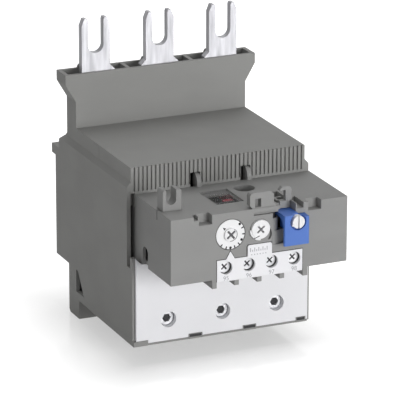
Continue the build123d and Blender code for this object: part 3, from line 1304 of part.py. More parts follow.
# Stop pin: a white slotted head with a small pointer
pin_face = button_face + pin_proud
with BuildPart() as stop_pin:
    discs([(stop_x, stop_h)], stop_r, stop_seat_d, pin_face)
    front([(stop_x - 2.2, stop_h + 1.2), (stop_x - 3.6, stop_h - 1.6), (stop_x - 0.8, stop_h - 2.6)],
          stop_seat_d, pin_face)
    discs([(stop_x, stop_h)], stop_shaft_r, stop_seat_d + slip_gap - stop_shaft_len, stop_seat_d + 0.1)
    block((stop_x - stop_slot_w / 2, stop_x + stop_slot_w / 2), (pin_face - 1.5, pin_face + 1),
          (stop_h - stop_well_r, stop_h + stop_well_r), Mode.SUBTRACT)
finish(stop_pin.part, "stop_pin")

# Return spring round the button's rod: square wire, bent in short straight runs
spring_back_d, spring_front_d = frame_front_d + slip_gap, boss_back - slip_gap
with BuildPart() as reset_spring:
    steps = spring_turns * spring_sides
    coil_r = spring_r - spring_wire / 2
    first_d = spring_back_d + spring_wire / 2
    step_d = (spring_front_d - spring_back_d - spring_wire) / steps
    corners = [(rod_x + coil_r * math.cos(2 * math.pi * i / spring_sides), fwd(first_d + i * step_d),
                up(rod_h) + coil_r * math.sin(2 * math.pi * i / spring_sides)) for i in range(steps + 1)]
    with BuildLine() as coil:
        Polyline(*corners)
    with BuildSketch(Plane(origin=coil.line @ 0, x_dir=(1, 0, 0), z_dir=coil.line % 0)) as wire:
        Rectangle(spring_wire * 0.8, spring_wire * 0.8)
    sweep(wire.sketch, path=coil.line, transition=Transition.RIGHT)
finish(reset_spring.part, "reset_spring")
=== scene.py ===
"""Looks of the thermal overload relay: plastics, plated metal, marks, painted shade, small pieces, studio and camera.
"""
import json
import math

import bpy
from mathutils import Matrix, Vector


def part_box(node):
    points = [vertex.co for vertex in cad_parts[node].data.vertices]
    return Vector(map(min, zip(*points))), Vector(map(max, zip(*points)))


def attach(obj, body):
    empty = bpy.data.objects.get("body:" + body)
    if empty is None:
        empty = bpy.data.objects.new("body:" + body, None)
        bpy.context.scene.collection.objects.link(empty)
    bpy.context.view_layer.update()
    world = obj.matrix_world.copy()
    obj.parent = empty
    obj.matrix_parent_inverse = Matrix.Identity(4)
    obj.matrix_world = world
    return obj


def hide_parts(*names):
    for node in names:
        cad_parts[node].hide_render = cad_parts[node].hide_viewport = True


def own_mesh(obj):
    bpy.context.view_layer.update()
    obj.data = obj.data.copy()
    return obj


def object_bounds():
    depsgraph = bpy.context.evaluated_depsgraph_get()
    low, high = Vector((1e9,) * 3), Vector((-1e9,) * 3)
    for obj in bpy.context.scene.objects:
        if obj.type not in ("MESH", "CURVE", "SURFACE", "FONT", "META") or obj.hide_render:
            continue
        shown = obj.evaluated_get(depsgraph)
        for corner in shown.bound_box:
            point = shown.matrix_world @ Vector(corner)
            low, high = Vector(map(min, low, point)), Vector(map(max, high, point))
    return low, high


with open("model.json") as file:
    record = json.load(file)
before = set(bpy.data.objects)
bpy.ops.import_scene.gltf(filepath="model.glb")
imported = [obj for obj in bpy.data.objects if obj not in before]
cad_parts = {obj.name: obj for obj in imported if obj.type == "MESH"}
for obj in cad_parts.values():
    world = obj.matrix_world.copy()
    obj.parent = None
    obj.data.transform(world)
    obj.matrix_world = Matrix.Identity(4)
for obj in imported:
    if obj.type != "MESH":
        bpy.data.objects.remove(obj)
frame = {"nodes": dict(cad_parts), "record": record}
cad_low, cad_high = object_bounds()

MM = 0.001
FULL_TURN = 2 * math.pi
MARK_AND_SHADE_T = 0.03 * MM
RECESS_TURN = math.radians(40)
PANE_ALPHA = 0.18
FLOOR_LIFT = 0.76
KEY_POWER = 21.5
TOP_POWER = 4.1
FILL_POWER = 1.3
AMBIENT = 0.35
REAR_DIM = 0.62

# Places read from the frame
dial_low, dial_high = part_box("current_dial")
knob_low, knob_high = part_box("selector_knob")
plate_low, plate_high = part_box("aux_plate")
pin_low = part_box("stop_pin")[0]
aux_screw_boxes = [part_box(f"aux_screw_{i + 1}") for i in range(4)]
dial_centre = Vector(((dial_low.x + dial_high.x) / 2, 0, (dial_low.z + dial_high.z) / 2))
dial_radius = (dial_high.x - dial_low.x) / 2
hub_out = 0.9 * MM
dial_face_y = dial_low.y + hub_out


def srgb(value):
    """One channel of an sRGB colour, 0 to 255, as a linear number."""
    c = value / 255
    return c / 12.92 if c <= 0.04045 else ((c + 0.055) / 1.055) ** 2.4


def colour(r, g, b):
    """An sRGB colour, 0 to 255 each, as a linear RGBA tuple."""
    return (srgb(r), srgb(g), srgb(b), 1.0)


def principled(name, base, rough, metal=0.0, spec=0.5):
    """A material with one Principled shader; returns the material, its shader and its node tree."""
    made = bpy.data.materials.new(name)
    made.use_nodes = True
    tree = made.node_tree
    shader = tree.nodes["Principled BSDF"]
    shader.inputs["Base Color"].default_value = base
    shader.inputs["Roughness"].default_value = rough
    shader.inputs["Metallic"].default_value = metal
    shader.inputs["Specular IOR Level"].default_value = spec
    return made, shader, tree


def noise_texture(tree, scale, detail, stretch=(1.0, 1.0, 1.0)):
    """A noise texture in the piece's own coordinates, stretched along the axes."""
    coords = tree.nodes.new("ShaderNodeTexCoord")
    mapping = tree.nodes.new("ShaderNodeMapping")
    noise = tree.nodes.new("ShaderNodeTexNoise")
    mapping.inputs["Scale"].default_value = stretch
    noise.inputs["Scale"].default_value = scale
    noise.inputs["Detail"].default_value = detail
    tree.links.new(coords.outputs["Object"], mapping.inputs["Vector"])
    tree.links.new(mapping.outputs["Vector"], noise.inputs["Vector"])
    return noise


def add_grain(shader, tree, scale, strength, edge, distance=0.02 * MM):
    """Fine bump over a surface, such as an eroded mould texture, with its edges shaded as small radii."""
    noise = noise_texture(tree, scale, 3.0)
    bump = tree.nodes.new("ShaderNodeBump")
    bump.inputs["Strength"].default_value = strength
    bump.inputs["Distance"].default_value = distance
    tree.links.new(noise.outputs["Fac"], bump.inputs["Height"])
    if edge:
        bevel = tree.nodes.new("ShaderNodeBevel")
        bevel.samples = 4
        bevel.inputs["Radius"].default_value = edge
        tree.links.new(bevel.outputs["Normal"], bump.inputs["Normal"])
    tree.links.new(bump.outputs["Normal"], shader.inputs["Normal"])


def add_tones(shader, tree, dark, light, scale, stretch=(1.0, 1.0, 1.0)):
    """Slow change of the base colour between two tones."""
    noise = noise_texture(tree, scale, 4.0, stretch)
    ramp = tree.nodes.new("ShaderNodeValToRGB")
    ramp.color_ramp.elements[0].position = 0.35
    ramp.color_ramp.elements[0].color = dark
    ramp.color_ramp.elements[1].position = 0.65
    ramp.color_ramp.elements[1].color = light
    tree.links.new(noise.outputs["Fac"], ramp.inputs["Fac"])
    tree.links.new(ramp.outputs["Color"], shader.inputs["Base Color"])


def add_wear(shader, tree, low, high, scale, stretch=(1.0, 1.0, 1.0)):
    """Slow change of the roughness between two values."""
    noise = noise_texture(tree, scale, 3.0, stretch)
    spread = tree.nodes.new("ShaderNodeMapRange")
    spread.inputs["From Min"].default_value = 0.3
    spread.inputs["From Max"].default_value = 0.7
    spread.inputs["To Min"].default_value = low
    spread.inputs["To Max"].default_value = high
    tree.links.new(noise.outputs["Fac"], spread.inputs["Value"])
    tree.links.new(spread.outputs["Result"], shader.inputs["Roughness"])


def plastic(name, r, g, b, rough=0.55, spec=0.35, grain=0.25, spread=2, edge=0.25 * MM):
    """Moulded plastic: fine grain, faint flow tones, uneven gloss and softened edges."""
    made, shader, tree = principled(name, colour(r, g, b), rough, spec=spec)
    add_tones(shader, tree, colour(r - spread, g - spread, b - spread), colour(r + spread, g + spread, b + spread),
              30.0, (1.0, 1.0, 2.0))
    add_wear(shader, tree, rough - 0.05, rough + 0.05, 45.0)
    add_grain(shader, tree, 2500.0, grain, edge)
    return made


def metal(name, dark, light, rough, scale, stretch, edge=0.15 * MM, share=1.0):
    """Plated or rolled metal with changes of tone and gloss along one direction."""
    made, shader, tree = principled(name, light, rough, metal=share)
    add_tones(shader, tree, dark, light, scale, stretch)
    add_wear(shader, tree, rough - 0.08, rough + 0.08, scale * 1.7, stretch)
    add_grain(shader, tree, 900.0, 0.15, edge)
    return made


def clear_pane(name):
    """Clear moulded plastic with faint sink marks, thin enough to let light through to what is below."""
    made, shader, tree = principled(name, colour(244, 246, 247), 0.04)
    shader.inputs["Alpha"].default_value = PANE_ALPHA
    shader.inputs["Transmission Weight"].default_value = 0.96
    shader.inputs["IOR"].default_value = 1.47
    noise = noise_texture(tree, 200.0, 1.0, (0.4, 1.0, 1.0))
    bump = tree.nodes.new("ShaderNodeBump")
    bump.inputs["Strength"].default_value = 0.15
    bump.inputs["Distance"].default_value = 0.15 * MM
    tree.links.new(noise.outputs["Fac"], bump.inputs["Height"])
    tree.links.new(bump.outputs["Normal"], shader.inputs["Normal"])
    return made


grey = plastic("housing_grey", 141, 141, 139)
module_grey = plastic("module_grey", 143, 143, 142)
pale = plastic("pale_plastic", 235, 235, 238, rough=0.5, grain=0.15, spread=1)
white = plastic("white_plastic", 237, 237, 238, rough=0.42, grain=0.1, spread=1)
# Dark plastic of the inner parts, also used as painted shade in the auxiliary screws' recesses, the sill's lips and the
# clamp screws' sockets
dark_inner_and_shade = plastic("inner_plastic", 52, 52, 54)
blue = plastic("blue_plastic", 58, 106, 190, rough=0.5, spec=0.8, grain=0.08)
red = plastic("red_plastic", 178, 10, 52, rough=0.45, spec=0.4)
# Black of the dial's print, also used as painted shade in the gap round the dial and along the plate's joint
ink_and_shade = plastic("black_ink_and_shade", 20, 20, 22, rough=0.6, grain=0.05, edge=0)
relief = plastic("grey_relief", 168, 168, 173, rough=0.5, grain=0.05, edge=0)
tin = metal("tinned_copper", colour(170, 170, 174), colour(202, 202, 206), 0.45, 110.0, (3.0, 3.0, 0.4))
zinc = metal("zinc_steel", colour(224, 225, 228), colour(244, 244, 246), 0.45, 160.0, (1.0, 1.0, 1.0), share=0.6)
spring_steel = metal("spring_steel", colour(120, 120, 122), colour(160, 160, 160), 0.35, 300.0, (1.0, 1.0, 1.0))
heater_alloy = metal("resistance_alloy", colour(120, 112, 100), colour(156, 146, 130), 0.45, 80.0, (1.0, 1.0, 2.0))
bimetal = metal("bimetal_strip", colour(150, 142, 122), colour(180, 172, 150), 0.4, 80.0, (1.0, 1.0, 0.3))
pane = clear_pane("clear_plastic")

LOOKS = {
    "housing_grey": grey,
    "module_grey": module_grey,
    "pale_plastic": pale,
    "white_plastic": white,
    "dial_grey": white,
    "inner_plastic": dark_inner_and_shade,
    "blue_plastic": blue,
    "red_plastic": red,
    "clear_plastic": pane,
    "tinned_copper": tin,
    "zinc_steel": zinc,
    "spring_steel": spring_steel,
    "resistance_alloy": heater_alloy,
    "bimetal_strip": bimetal,
    "contact_silver": tin,
}
for part in frame["record"]["subparts"]:
    node = frame["nodes"][part["node"]]
    node.data.materials.clear()
    node.data.materials.append(LOOKS[part["material_slot"]])


def link_piece(made, body):
    """Adds a piece to the scene and lets it ride on a body."""
    bpy.context.scene.collection.objects.link(made)
    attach(made, body)


def print_and_shade_patch(name, outline, at_y, look, body):
    """A thin mark of print, relief or painted shade: an outline of (x, z) points, clockwise from the front, on a face.
    """
    count = len(outline)
    verts = [(px, at_y - MARK_AND_SHADE_T, pz) for px, pz in outline] + [(px, at_y + MARK_AND_SHADE_T, pz) for px, pz in outline]
    faces = [tuple(reversed(range(count))), tuple(range(count, 2 * count))]
    for i in range(count):
        j = (i + 1) % count
        faces.append((i, j, j + count, i + count))
    mesh = bpy.data.meshes.new(name)
    mesh.from_pydata(verts, [], faces)
    mesh.materials.append(look)
    link_piece(bpy.data.objects.new(name, mesh), body)


def disc_outline(x, z, radius, steps=24):
    """Points round a circle, clockwise as seen from the front."""
    turns = [FULL_TURN * i / steps for i in range(steps)]
    return [(x + radius * math.sin(t), z + radius * math.cos(t)) for t in turns]


def spoke_outline(centre, angle, inner, outer, inner_w, outer_w):
    """A tapered line that points away from a centre; angle 0 is up and positive is clockwise."""
    along = Vector((math.sin(angle), math.cos(angle)))
    across = Vector((math.cos(angle), -math.sin(angle)))
    base = Vector((centre.x, centre.z))
    corners = [base + along * inner - across * inner_w / 2, base + along * outer - across * outer_w / 2,
               base + along * outer + across * outer_w / 2, base + along * inner + across * inner_w / 2]
    return [tuple(c) for c in corners]


def box_outline(x0, x1, z0, z1):
    """A rectangle's corners, clockwise as seen from the front."""
    return [(x0, z0), (x0, z1), (x1, z1), (x1, z0)]


def cross_outline(x, z, reach, half):
    """The outline of a cross-shaped driver recess, clockwise as seen from the front."""
    corners = [(-half, reach), (half, reach), (half, half), (reach, half), (reach, -half), (half, -half),
               (half, -reach), (-half, -reach), (-half, -half), (-reach, -half), (-reach, half), (-half, half)]
    across, along = math.cos(RECESS_TURN), math.sin(RECESS_TURN)
    return [(x + px * across - pz * along, z + px * along + pz * across) for px, pz in corners]


def strip(name, inner, outer, at_y, look, body, slot):
    """A thin band between two lines of (x, z) points that run side by side, on a face."""
    count = len(inner)
    verts = [(x, y, z) for y in (at_y - MARK_AND_SHADE_T, at_y + MARK_AND_SHADE_T) for line in (inner, outer) for x, z in line]
    faces = [(0, count, 3 * count, 2 * count), (count - 1, 3 * count - 1, 4 * count - 1, 2 * count - 1)]
    for i in range(count - 1):
        a, b, c, d = i, i + count, i + 2 * count, i + 3 * count
        faces += [(a, a + 1, b + 1, b), (c, d, d + 1, c + 1), (a, c, c + 1, a + 1), (b, b + 1, d + 1, d)]
    mesh = bpy.data.meshes.new(name)
    mesh.from_pydata(verts, [], faces)
    mesh.materials.append(look)
    link_piece(bpy.data.objects.new(name, mesh), body)


def arc_points(x, z, radius, first, last, steps):
    """Points on an arc; angle 0 is up and positive is clockwise as seen from the front."""
    turns = [first + (last - first) * i / steps for i in range(steps + 1)]
    return [(x + radius * math.sin(t), z + radius * math.cos(t)) for t in turns]


def offset_line(corners, width):
    """The same corners moved to the left of the way they run, with mitred turns."""
    moved = []
    for i, (x, z) in enumerate(corners):
        sides = []
        for j, k in ((i - 1, i), (i, i + 1)):
            if j >= 0 and k < len(corners):
                run = Vector((corners[k][0] - corners[j][0], corners[k][1] - corners[j][1])).normalized()
                sides.append(Vector((-run.y, run.x)))
        first, last = sides[0], sides[-1]
        step = (first + last) * (width / (1 + first.dot(last)))
        moved.append((x + step.x, z + step.y))
    return moved


def written(name, words, height, x, z):
    """Faint raised characters on the terminal plate, centred on x, with their foot at z."""
    text = bpy.data.curves.new(name, "FONT")
    text.body = words
    text.size = height
    text.align_x = "CENTER"
    text.extrude = MARK_AND_SHADE_T
    text.materials.append(relief)
    piece = bpy.data.objects.new(name, text)
    piece.location = (x, plate_low.y, z)
    piece.rotation_euler = (math.pi / 2, 0, 0)
    link_piece(piece, "base")


# Dial scale: nine marks, every third one a dot, and a small triangle that shows the dial's own position
MARK_ANGLES = (46, 67, 95, 120, 140, 161, 180, 199, 223)
DOT_EVERY = 3
DOT_R = 0.68 * MM
DOT_INSET = 0.72 * MM
TICK_LENGTH = 1.35 * MM
TICK_INSET = 0.03 * MM
TICK_INNER_W, TICK_OUTER_W = 0.5 * MM, 0.7 * MM
ARROW_ANGLE = -45
ARROW_IN, ARROW_OUT = 4.0 * MM, 5.5 * MM
ARROW_INNER_W, ARROW_OUTER_W = 1.5 * MM, 0.1 * MM
for i, angle in enumerate(MARK_ANGLES):
    turn = math.radians(angle)
    if i % DOT_EVERY:
        mark = spoke_outline(dial_centre, turn, dial_radius - TICK_LENGTH, dial_radius - TICK_INSET, TICK_INNER_W,
                             TICK_OUTER_W)
    else:
        away = dial_radius - DOT_INSET
        mark = disc_outline(dial_centre.x + away * math.sin(turn), dial_centre.z + away * math.cos(turn), DOT_R)
    print_and_shade_patch(f"dial_mark_{i + 1}", mark, dial_face_y, ink_and_shade, "dial")
arrow = spoke_outline(dial_centre, math.radians(ARROW_ANGLE), ARROW_IN, ARROW_OUT, ARROW_INNER_W, ARROW_OUTER_W)
print_and_shade_patch("dial_arrow", arrow, dial_face_y, ink_and_shade, "dial")

# Selector: one index line at the lower left of its recess. The middle comes from the box, and the lobe on one side
# puts it 0.3 mm left of the axis and 0.4 mm below it
KNOB_SHIFT = 0.1 * MM
INDEX_CORNERS = ((-3.3, -4.1), (-3.4, -3.75), (-0.5, -2.65), (-0.4, -3.0))
knob_middle = Vector(((knob_low.x + knob_high.x) / 2 + KNOB_SHIFT, 0, (knob_low.z + knob_high.z) / 2))
print_and_shade_patch("knob_index", [(knob_middle.x + px * MM, knob_middle.z + pz * MM) for px, pz in INDEX_CORNERS], knob_low.y,
        ink_and_shade, "knob")

# Plain terminal numbers below the auxiliary screws, and a row of ticks and one of dots on the tag
NUMBER_H = 3.1 * MM
NUMBER_FOOT = 0.5 * MM
FIRST_NUMBER = 95
TAG_DOTS = 6
TAG_DOT_PITCH = 1.5 * MM
TAG_DOT_R = 0.3 * MM
TAG_DOT_DROP = 5.1 * MM
TAG_TICKS = 9
TAG_TICK_PITCH = 1.1 * MM
TAG_TICK_HALF = 0.2 * MM
TAG_TICK_DROP = 3.6 * MM
TAG_TICK_SHORT, TAG_TICK_LONG = 1.0 * MM, 2.0 * MM
TAG_SHIFT = 0.3 * MM
for i, (screw_low, screw_high) in enumerate(aux_screw_boxes):
    written(f"terminal_number_{i + 1}", str(FIRST_NUMBER + i), NUMBER_H, (screw_low.x + screw_high.x) / 2,
            plate_low.z + NUMBER_FOOT)
tag_x, tag_z = knob_middle.x - TAG_SHIFT, plate_high.z
for i in range(TAG_TICKS):
    tick_x = tag_x + (i - (TAG_TICKS - 1) / 2) * TAG_TICK_PITCH
    tick_z = tag_z - TAG_TICK_DROP
    tick_h = TAG_TICK_SHORT if i % 2 else TAG_TICK_LONG
    print_and_shade_patch(f"tag_tick_{i + 1}", box_outline(tick_x - TAG_TICK_HALF, tick_x + TAG_TICK_HALF, tick_z, tick_z + tick_h),
            plate_low.y, relief, "base")
for i in range(TAG_DOTS):
    dot_x = tag_x + (i - (TAG_DOTS - 1) / 2) * TAG_DOT_PITCH
    print_and_shade_patch(f"tag_dot_{i + 1}", disc_outline(dot_x, tag_z - TAG_DOT_DROP, TAG_DOT_R, 10), plate_low.y, relief, "base")

# Painted shade: flat dark patches part-way down the cross recesses of the dial, the selector and the auxiliary screws:
# reach and half width
DIAL_CROSS = (2.7 * MM, 0.55 * MM)
KNOB_CROSS = (2.4 * MM, 0.45 * MM)
AUX_CROSS = (1.9 * MM, 0.4 * MM)
DIAL_SHADE_IN, KNOB_SHADE_IN, AUX_SHADE_IN = 0.5 * MM, 0.4 * MM, 0.3 * MM
# Grey of the painted shade in the cross recesses and on the hub's edge
recess = plastic("recess_shade", 96, 96, 98, rough=0.6, grain=0.05, spread=1, edge=0)
print_and_shade_patch("dial_recess_shade", cross_outline(dial_centre.x, dial_centre.z, *DIAL_CROSS), dial_low.y + DIAL_SHADE_IN, recess,
        "dial")
print_and_shade_patch("knob_recess_shade", cross_outline(knob_middle.x, knob_middle.z, *KNOB_CROSS), knob_low.y + KNOB_SHADE_IN, recess,
        "knob")
for i, (screw_low, screw_high) in enumerate(aux_screw_boxes):
    cross = cross_outline((screw_low.x + screw_high.x) / 2, (screw_low.z + screw_high.z) / 2, *AUX_CROSS)
    print_and_shade_patch(f"aux_recess_shade_{i + 1}", cross, screw_low.y + AUX_SHADE_IN, dark_inner_and_shade, f"aux_screw_{i + 1}")

# Painted shade: a dark ring sunk in the gap round the dial, a dark arc along the edge of its hub, and a dark line along
# the joint round the terminal plate
RING_STEPS = 64
HUB_STEPS = 20
HUB_SHADE = (math.radians(30), math.radians(190))
GAP_IN, GAP_OUT, GAP_SINK = 0.02 * MM, 0.33 * MM, 0.25 * MM
HUB_EDGE_IN, HUB_EDGE_OUT = 3.0 * MM, 3.3 * MM
JOINT_W = 0.3 * MM
PLATE_H = 11.1 * MM
TAG_HALF = 6.45 * MM
POINTER_H = 3.9 * MM
face_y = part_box("module_housing")[0].y
gap_lines = [arc_points(dial_centre.x, dial_centre.z, dial_radius + out, 0, FULL_TURN, RING_STEPS)
             for out in (GAP_IN, GAP_OUT)]
strip("dial_gap_shade", *gap_lines, face_y + GAP_SINK, ink_and_shade, "base", "inner_plastic")
hub_lines = [arc_points(dial_centre.x, dial_centre.z, radius, *HUB_SHADE, HUB_STEPS)
             for radius in (HUB_EDGE_IN, HUB_EDGE_OUT)]
strip("hub_edge_shade", *hub_lines, dial_low.y, recess, "dial", "white_plastic")
plate_top = plate_low.z + PLATE_H
tag_left, tag_right, tag_bevel = knob_middle.x - TAG_HALF, knob_middle.x + TAG_HALF, 0.7 * MM
pointer_half, pointer_tip = 2.3 * MM, plate_top + POINTER_H
plate_edge = [(plate_low.x, plate_low.z), (plate_low.x, plate_top), (dial_centre.x - pointer_half, plate_top),
              (dial_centre.x, pointer_tip), (dial_centre.x + pointer_half, plate_top), (tag_left, plate_top),
              (tag_left, plate_high.z - tag_bevel), (tag_left + tag_bevel, plate_high.z),
              (tag_right - tag_bevel, plate_high.z), (tag_right, plate_high.z - tag_bevel), (tag_right, plate_top),
              (plate_high.x, plate_top), (plate_high.x, plate_low.z)]
strip("plate_joint_shade", plate_edge, offset_line(plate_edge, JOINT_W), face_y, ink_and_shade, "base", "inner_plastic")

# Painted shade: flat dark patches that stand for the hollows in the sill's lips, below the outlet cover; spans in mm
# from the left
LIP_SPANS = ((29.6, 36.9), (59.1, 66.2), (88.3, 93.4))
LIP_EDGE_LEFT, LIP_EDGE_RIGHT = 0.4, 0.5
HOLLOW_LOW, HOLLOW_TOP = 1.0 * MM, 2.4 * MM
FOOT_DROP = 9.7 * MM
sill_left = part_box("lower_housing")[0].x
lip_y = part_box("lower_housing")[0].y
sill_z = cad_low.z + FOOT_DROP
for i, (lip_start, lip_end) in enumerate(LIP_SPANS):
    hollow = box_outline(sill_left + (lip_start + LIP_EDGE_LEFT) * MM, sill_left + (lip_end - LIP_EDGE_RIGHT) * MM,
                         sill_z + HOLLOW_LOW, sill_z + HOLLOW_TOP)
    print_and_shade_patch(f"lip_hollow_shade_{i + 1}", hollow, lip_y, dark_inner_and_shade, "base")

# Painted shade: flat dark hexagons down in the clamp screws' hexagon sockets
SOCKET_R = 2.25 * MM
SOCKET_DEEP = 0.9 * MM
for pole in ("left", "centre", "right"):
    head_low, head_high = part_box(f"clamp_screw_{pole}")
    print_and_shade_patch(f"socket_{pole}", disc_outline((head_low.x + head_high.x) / 2, (head_low.z + head_high.z) / 2, SOCKET_R, 6),
            head_low.y + SOCKET_DEEP, dark_inner_and_shade, f"clamp_screw_{pole}")

# Ramp of the finger scoop: the casing curves in under the reset button from the left
button_low, button_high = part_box("reset_button")
SCOOP_STEPS = 10
SCOOP_T = 0.4 * MM
SCOOP_CLEAR = 0.2 * MM
SCOOP_RUN = 3.7 * MM
SCOOP_SINK = 0.05 * MM
SCOOP_CURVE = 1.5
UPPER_DEEP, LOWER_DEEP = 2.2 * MM, 5.0 * MM


def scoop_ramp(name, x_end, depth_end, z0, z1):
    """A curved sheet of the casing from the scoop's left edge to x_end, depth_end behind the face."""
    x_start = button_low.x - SCOOP_RUN
    profile = []
    for i in range(SCOOP_STEPS + 1):
        t = i / SCOOP_STEPS
        profile.append((x_start + t * (x_end - x_start), face_y + SCOOP_SINK + depth_end * t ** SCOOP_CURVE))
    ring = profile + [(x, y + SCOOP_T) for x, y in reversed(profile)]
    count = len(ring)
    verts = [(x, y, z0) for x, y in ring] + [(x, y, z1) for x, y in ring]
    faces = [(i, (i + 1) % count, (i + 1) % count + count, i + count) for i in range(count)]
    for i in range(SCOOP_STEPS):
        j = count - 1 - i
        faces.append((j, j - 1, i + 1, i))
        faces.append((i + count, i + 1 + count, j - 1 + count, j + count))
    mesh = bpy.data.meshes.new(name)
    mesh.from_pydata(verts, [], faces)
    mesh.materials.append(module_grey)
    link_piece(bpy.data.objects.new(name, mesh), "base")


scoop_low_z, scoop_top_z = button_low.z - 0.1 * MM, button_high.z - 2.2 * MM
boss_left_x, boss_low_z = pin_low.x - 1.3 * MM, pin_low.z - 1.6 * MM
scoop_ramp("scoop_ramp_upper", button_low.x - SCOOP_CLEAR, UPPER_DEEP, boss_low_z - SCOOP_CLEAR, scoop_top_z)
scoop_ramp("scoop_ramp_lower", boss_left_x + 5 * MM, LOWER_DEEP, scoop_low_z, boss_low_z - SCOOP_CLEAR)

# Return spring of the button, which in the real relay shortens as the button goes in: a wire coil with flat ends at the
# length of the hidden reset_spring part, riding on the base
SPRING_TURNS = 6
SPRING_WIRE = 0.7 * MM
SPRING_STEPS = 20
FLAT_TURNS = 0.75
spring_low, spring_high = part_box("reset_spring")
coil_r = (spring_high.x - spring_low.x - SPRING_WIRE) / 2
coil_x, coil_z = (spring_low.x + spring_high.x) / 2, (spring_low.z + spring_high.z) / 2
coil_length = spring_high.y - spring_low.y
line = bpy.data.curves.new("return_spring_line", "CURVE")
line.dimensions = "3D"
line.bevel_depth = SPRING_WIRE / 2
line.bevel_resolution = 2
line.use_fill_caps = True
spline = line.splines.new("POLY")
spline.points.add(SPRING_TURNS * SPRING_STEPS)
for i, point in enumerate(spline.points):
    turns = i / SPRING_STEPS
    share = min(max((turns - FLAT_TURNS) / (SPRING_TURNS - 2 * FLAT_TURNS), 0.0), 1.0)
    angle = FULL_TURN * turns
    point.co = (coil_x + coil_r * math.cos(angle), spring_low.y + SPRING_WIRE / 2 + (coil_length - SPRING_WIRE) * share,
                coil_z + coil_r * math.sin(angle), 1.0)
coil_line = bpy.data.objects.new("return_spring_line", line)
spring = bpy.data.objects.new("return_spring", bpy.data.meshes.new_from_object(coil_line))
bpy.data.objects.remove(coil_line)
spring.data.materials.clear()
spring.data.materials.append(spring_steel)
link_piece(spring, "base")
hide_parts("reset_spring")
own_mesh(spring)

bpy.context.view_layer.update()

# Floor: white to the camera, with the relay's soft shadow and a faint reflection that fades outwards
FLOOR_REACH = 6.0
SHEEN_LEVEL = 0.4
SHEEN_REACH = 75 * MM
SHEEN_FALL = 1.6
floor_z = cad_low.z
foot_low, foot_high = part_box("lower_housing")


def maths(tree, kind, first, second=0.0):
    """A Math node; each input is a socket or a number."""
    node = tree.nodes.new("ShaderNodeMath")
    node.operation = kind
    for place, value in enumerate((first, second)):
        if isinstance(value, (int, float)):
            node.inputs[place].default_value = value
        else:
            tree.links.new(value, node.inputs[place])
    return node.outputs[0]


def floor_look():
    """White floor: diffuse for the object, lifted to white for the camera, mirror-like near the object."""
    made = bpy.data.materials.new("studio_floor")
    made.use_nodes = True
    tree = made.node_tree
    shader = tree.nodes["Principled BSDF"]
    shader.inputs["Base Color"].default_value = (0.85, 0.85, 0.85, 1.0)
    shader.inputs["Roughness"].default_value = 0.9
    shader.inputs["Specular IOR Level"].default_value = 0.0
    light_path = tree.nodes.new("ShaderNodeLightPath")
    geometry = tree.nodes.new("ShaderNodeNewGeometry")
    split = tree.nodes.new("ShaderNodeSeparateXYZ")
    tree.links.new(geometry.outputs["Position"], split.inputs["Vector"])
    outside = []
    for axis in range(2):
        middle, half = (foot_low[axis] + foot_high[axis]) / 2, (foot_high[axis] - foot_low[axis]) / 2
        away = maths(tree, "ABSOLUTE", maths(tree, "SUBTRACT", split.outputs[axis], middle))
        outside.append(maths(tree, "MAXIMUM", maths(tree, "SUBTRACT", away, half), 0.0))
    square = maths(tree, "ADD", maths(tree, "POWER", outside[0], 2.0), maths(tree, "POWER", outside[1], 2.0))
    share = maths(tree, "SUBTRACT", 1.0, maths(tree, "DIVIDE", maths(tree, "SQRT", square), SHEEN_REACH))
    fade = maths(tree, "POWER", maths(tree, "MAXIMUM", share, 0.0), SHEEN_FALL)
    lifted = maths(tree, "MULTIPLY", light_path.outputs["Is Camera Ray"], FLOOR_LIFT)
    tree.links.new(lifted, shader.inputs["Emission Strength"])
    shader.inputs["Emission Color"].default_value = (1.0, 1.0, 1.0, 1.0)
    mirror = tree.nodes.new("ShaderNodeBsdfGlossy")
    mirror.inputs["Roughness"].default_value = 0.12
    mix = tree.nodes.new("ShaderNodeMixShader")
    seen = maths(tree, "MULTIPLY", light_path.outputs["Is Camera Ray"], SHEEN_LEVEL)
    tree.links.new(maths(tree, "MULTIPLY", fade, seen), mix.inputs[0])
    tree.links.new(shader.outputs[0], mix.inputs[1])
    tree.links.new(mirror.outputs[0], mix.inputs[2])
    tree.links.new(mix.outputs[0], tree.nodes["Material Output"].inputs["Surface"])
    return made


floor_mesh = bpy.data.meshes.new("studio_floor")
floor_mesh.from_pydata([(-FLOOR_REACH, -FLOOR_REACH, floor_z), (FLOOR_REACH, -FLOOR_REACH, floor_z),
                        (FLOOR_REACH, FLOOR_REACH, floor_z), (-FLOOR_REACH, FLOOR_REACH, floor_z)], [],
                       [(0, 1, 2, 3)])
floor_mesh.materials.append(floor_look())
floor = bpy.data.objects.new("studio_floor", floor_mesh)
bpy.context.scene.collection.objects.link(floor)

# Lamps: a broad key nearly level with the front, from the right, a weak one over the back and a fill at the left
centre = (cad_low + cad_high) / 2


def area_light(name, azimuth, elevation, distance, size, power):
    """A square soft lamp that faces the object; azimuth 0 is the front and positive is to the right."""
    a, e = math.radians(azimuth), math.radians(elevation)
    towards = Vector((math.sin(a) * math.cos(e), -math.cos(a) * math.cos(e), math.sin(e)))
    data = bpy.data.lights.new(name, "AREA")
    data.shape = "SQUARE"
    data.size = size
    data.energy = power
    lamp = bpy.data.objects.new(name, data)
    lamp.location = centre + towards * distance
    lamp.rotation_euler = towards.to_track_quat("Z", "Y").to_euler()
    bpy.context.scene.collection.objects.link(lamp)


area_light("key_light", 18, 5, 1.7, 0.8, KEY_POWER)
area_light("top_light", 150, 62, 1.2, 0.8, TOP_POWER)
area_light("fill_light", -80, 12, 1.6, 1.0, FILL_POWER)

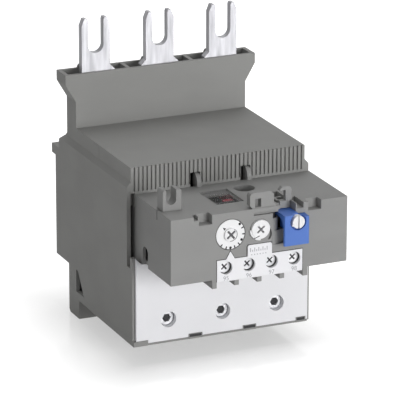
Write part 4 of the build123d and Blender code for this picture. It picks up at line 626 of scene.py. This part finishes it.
# World: plain white to the camera and in reflections, and a lower even level that lights the object
world = bpy.data.worlds.new("studio_world")
world.use_nodes = True
sky = world.node_tree
light_path = sky.nodes.new("ShaderNodeLightPath")
seen = maths(sky, "MAXIMUM", light_path.outputs["Is Camera Ray"], light_path.outputs["Is Glossy Ray"])
seen = maths(sky, "MAXIMUM", seen, light_path.outputs["Is Transmission Ray"])
level = maths(sky, "ADD", maths(sky, "MULTIPLY", seen, 1.0 - AMBIENT), AMBIENT)
coords = sky.nodes.new("ShaderNodeTexCoord")
split = sky.nodes.new("ShaderNodeSeparateXYZ")
sky.links.new(coords.outputs["Generated"], split.inputs["Vector"])
rear = maths(sky, "MAXIMUM", split.outputs["Y"], 0.0)
dim = maths(sky, "MULTIPLY", maths(sky, "MULTIPLY", rear, light_path.outputs["Is Glossy Ray"]), REAR_DIM)
level = maths(sky, "MULTIPLY", level, maths(sky, "SUBTRACT", 1.0, dim))
sky.nodes["Background"].inputs["Color"].default_value = (1.0, 1.0, 1.0, 1.0)
sky.links.new(level, sky.nodes["Background"].inputs["Strength"])
bpy.context.scene.world = world
bpy.context.scene.view_settings.view_transform = "Standard"

# Camera at the photograph's angle
AZIMUTH = math.radians(-23.568105)
ELEVATION = math.radians(17.995255)
TARGET = Vector((0.0, 19.65 * MM, 79.7 * MM))
DISTANCE = 1708.662 * MM
FOCAL_PIXELS = 3384.367
FRAME_PIXELS = 400
TARGET_PIXEL = (182.3257, 169.6681)
SENSOR = 36.0
back = Vector((math.sin(AZIMUTH) * math.cos(ELEVATION), -math.cos(AZIMUTH) * math.cos(ELEVATION),
               math.sin(ELEVATION)))
camera_data = bpy.data.cameras.new("photo_camera")
camera_data.sensor_width = SENSOR
camera_data.lens = SENSOR * FOCAL_PIXELS / FRAME_PIXELS
camera_data.shift_x = (FRAME_PIXELS / 2 - TARGET_PIXEL[0]) / FRAME_PIXELS
camera_data.shift_y = (TARGET_PIXEL[1] - FRAME_PIXELS / 2) / FRAME_PIXELS
camera_data.clip_start = 0.05
camera_data.clip_end = 50.0
camera = bpy.data.objects.new("photo_camera", camera_data)
camera.rotation_mode = "QUATERNION"
camera.location = TARGET + back * DISTANCE
camera.rotation_quaternion = (-back).to_track_quat("-Z", "Y")
bpy.context.scene.collection.objects.link(camera)
bpy.context.scene.camera = camera
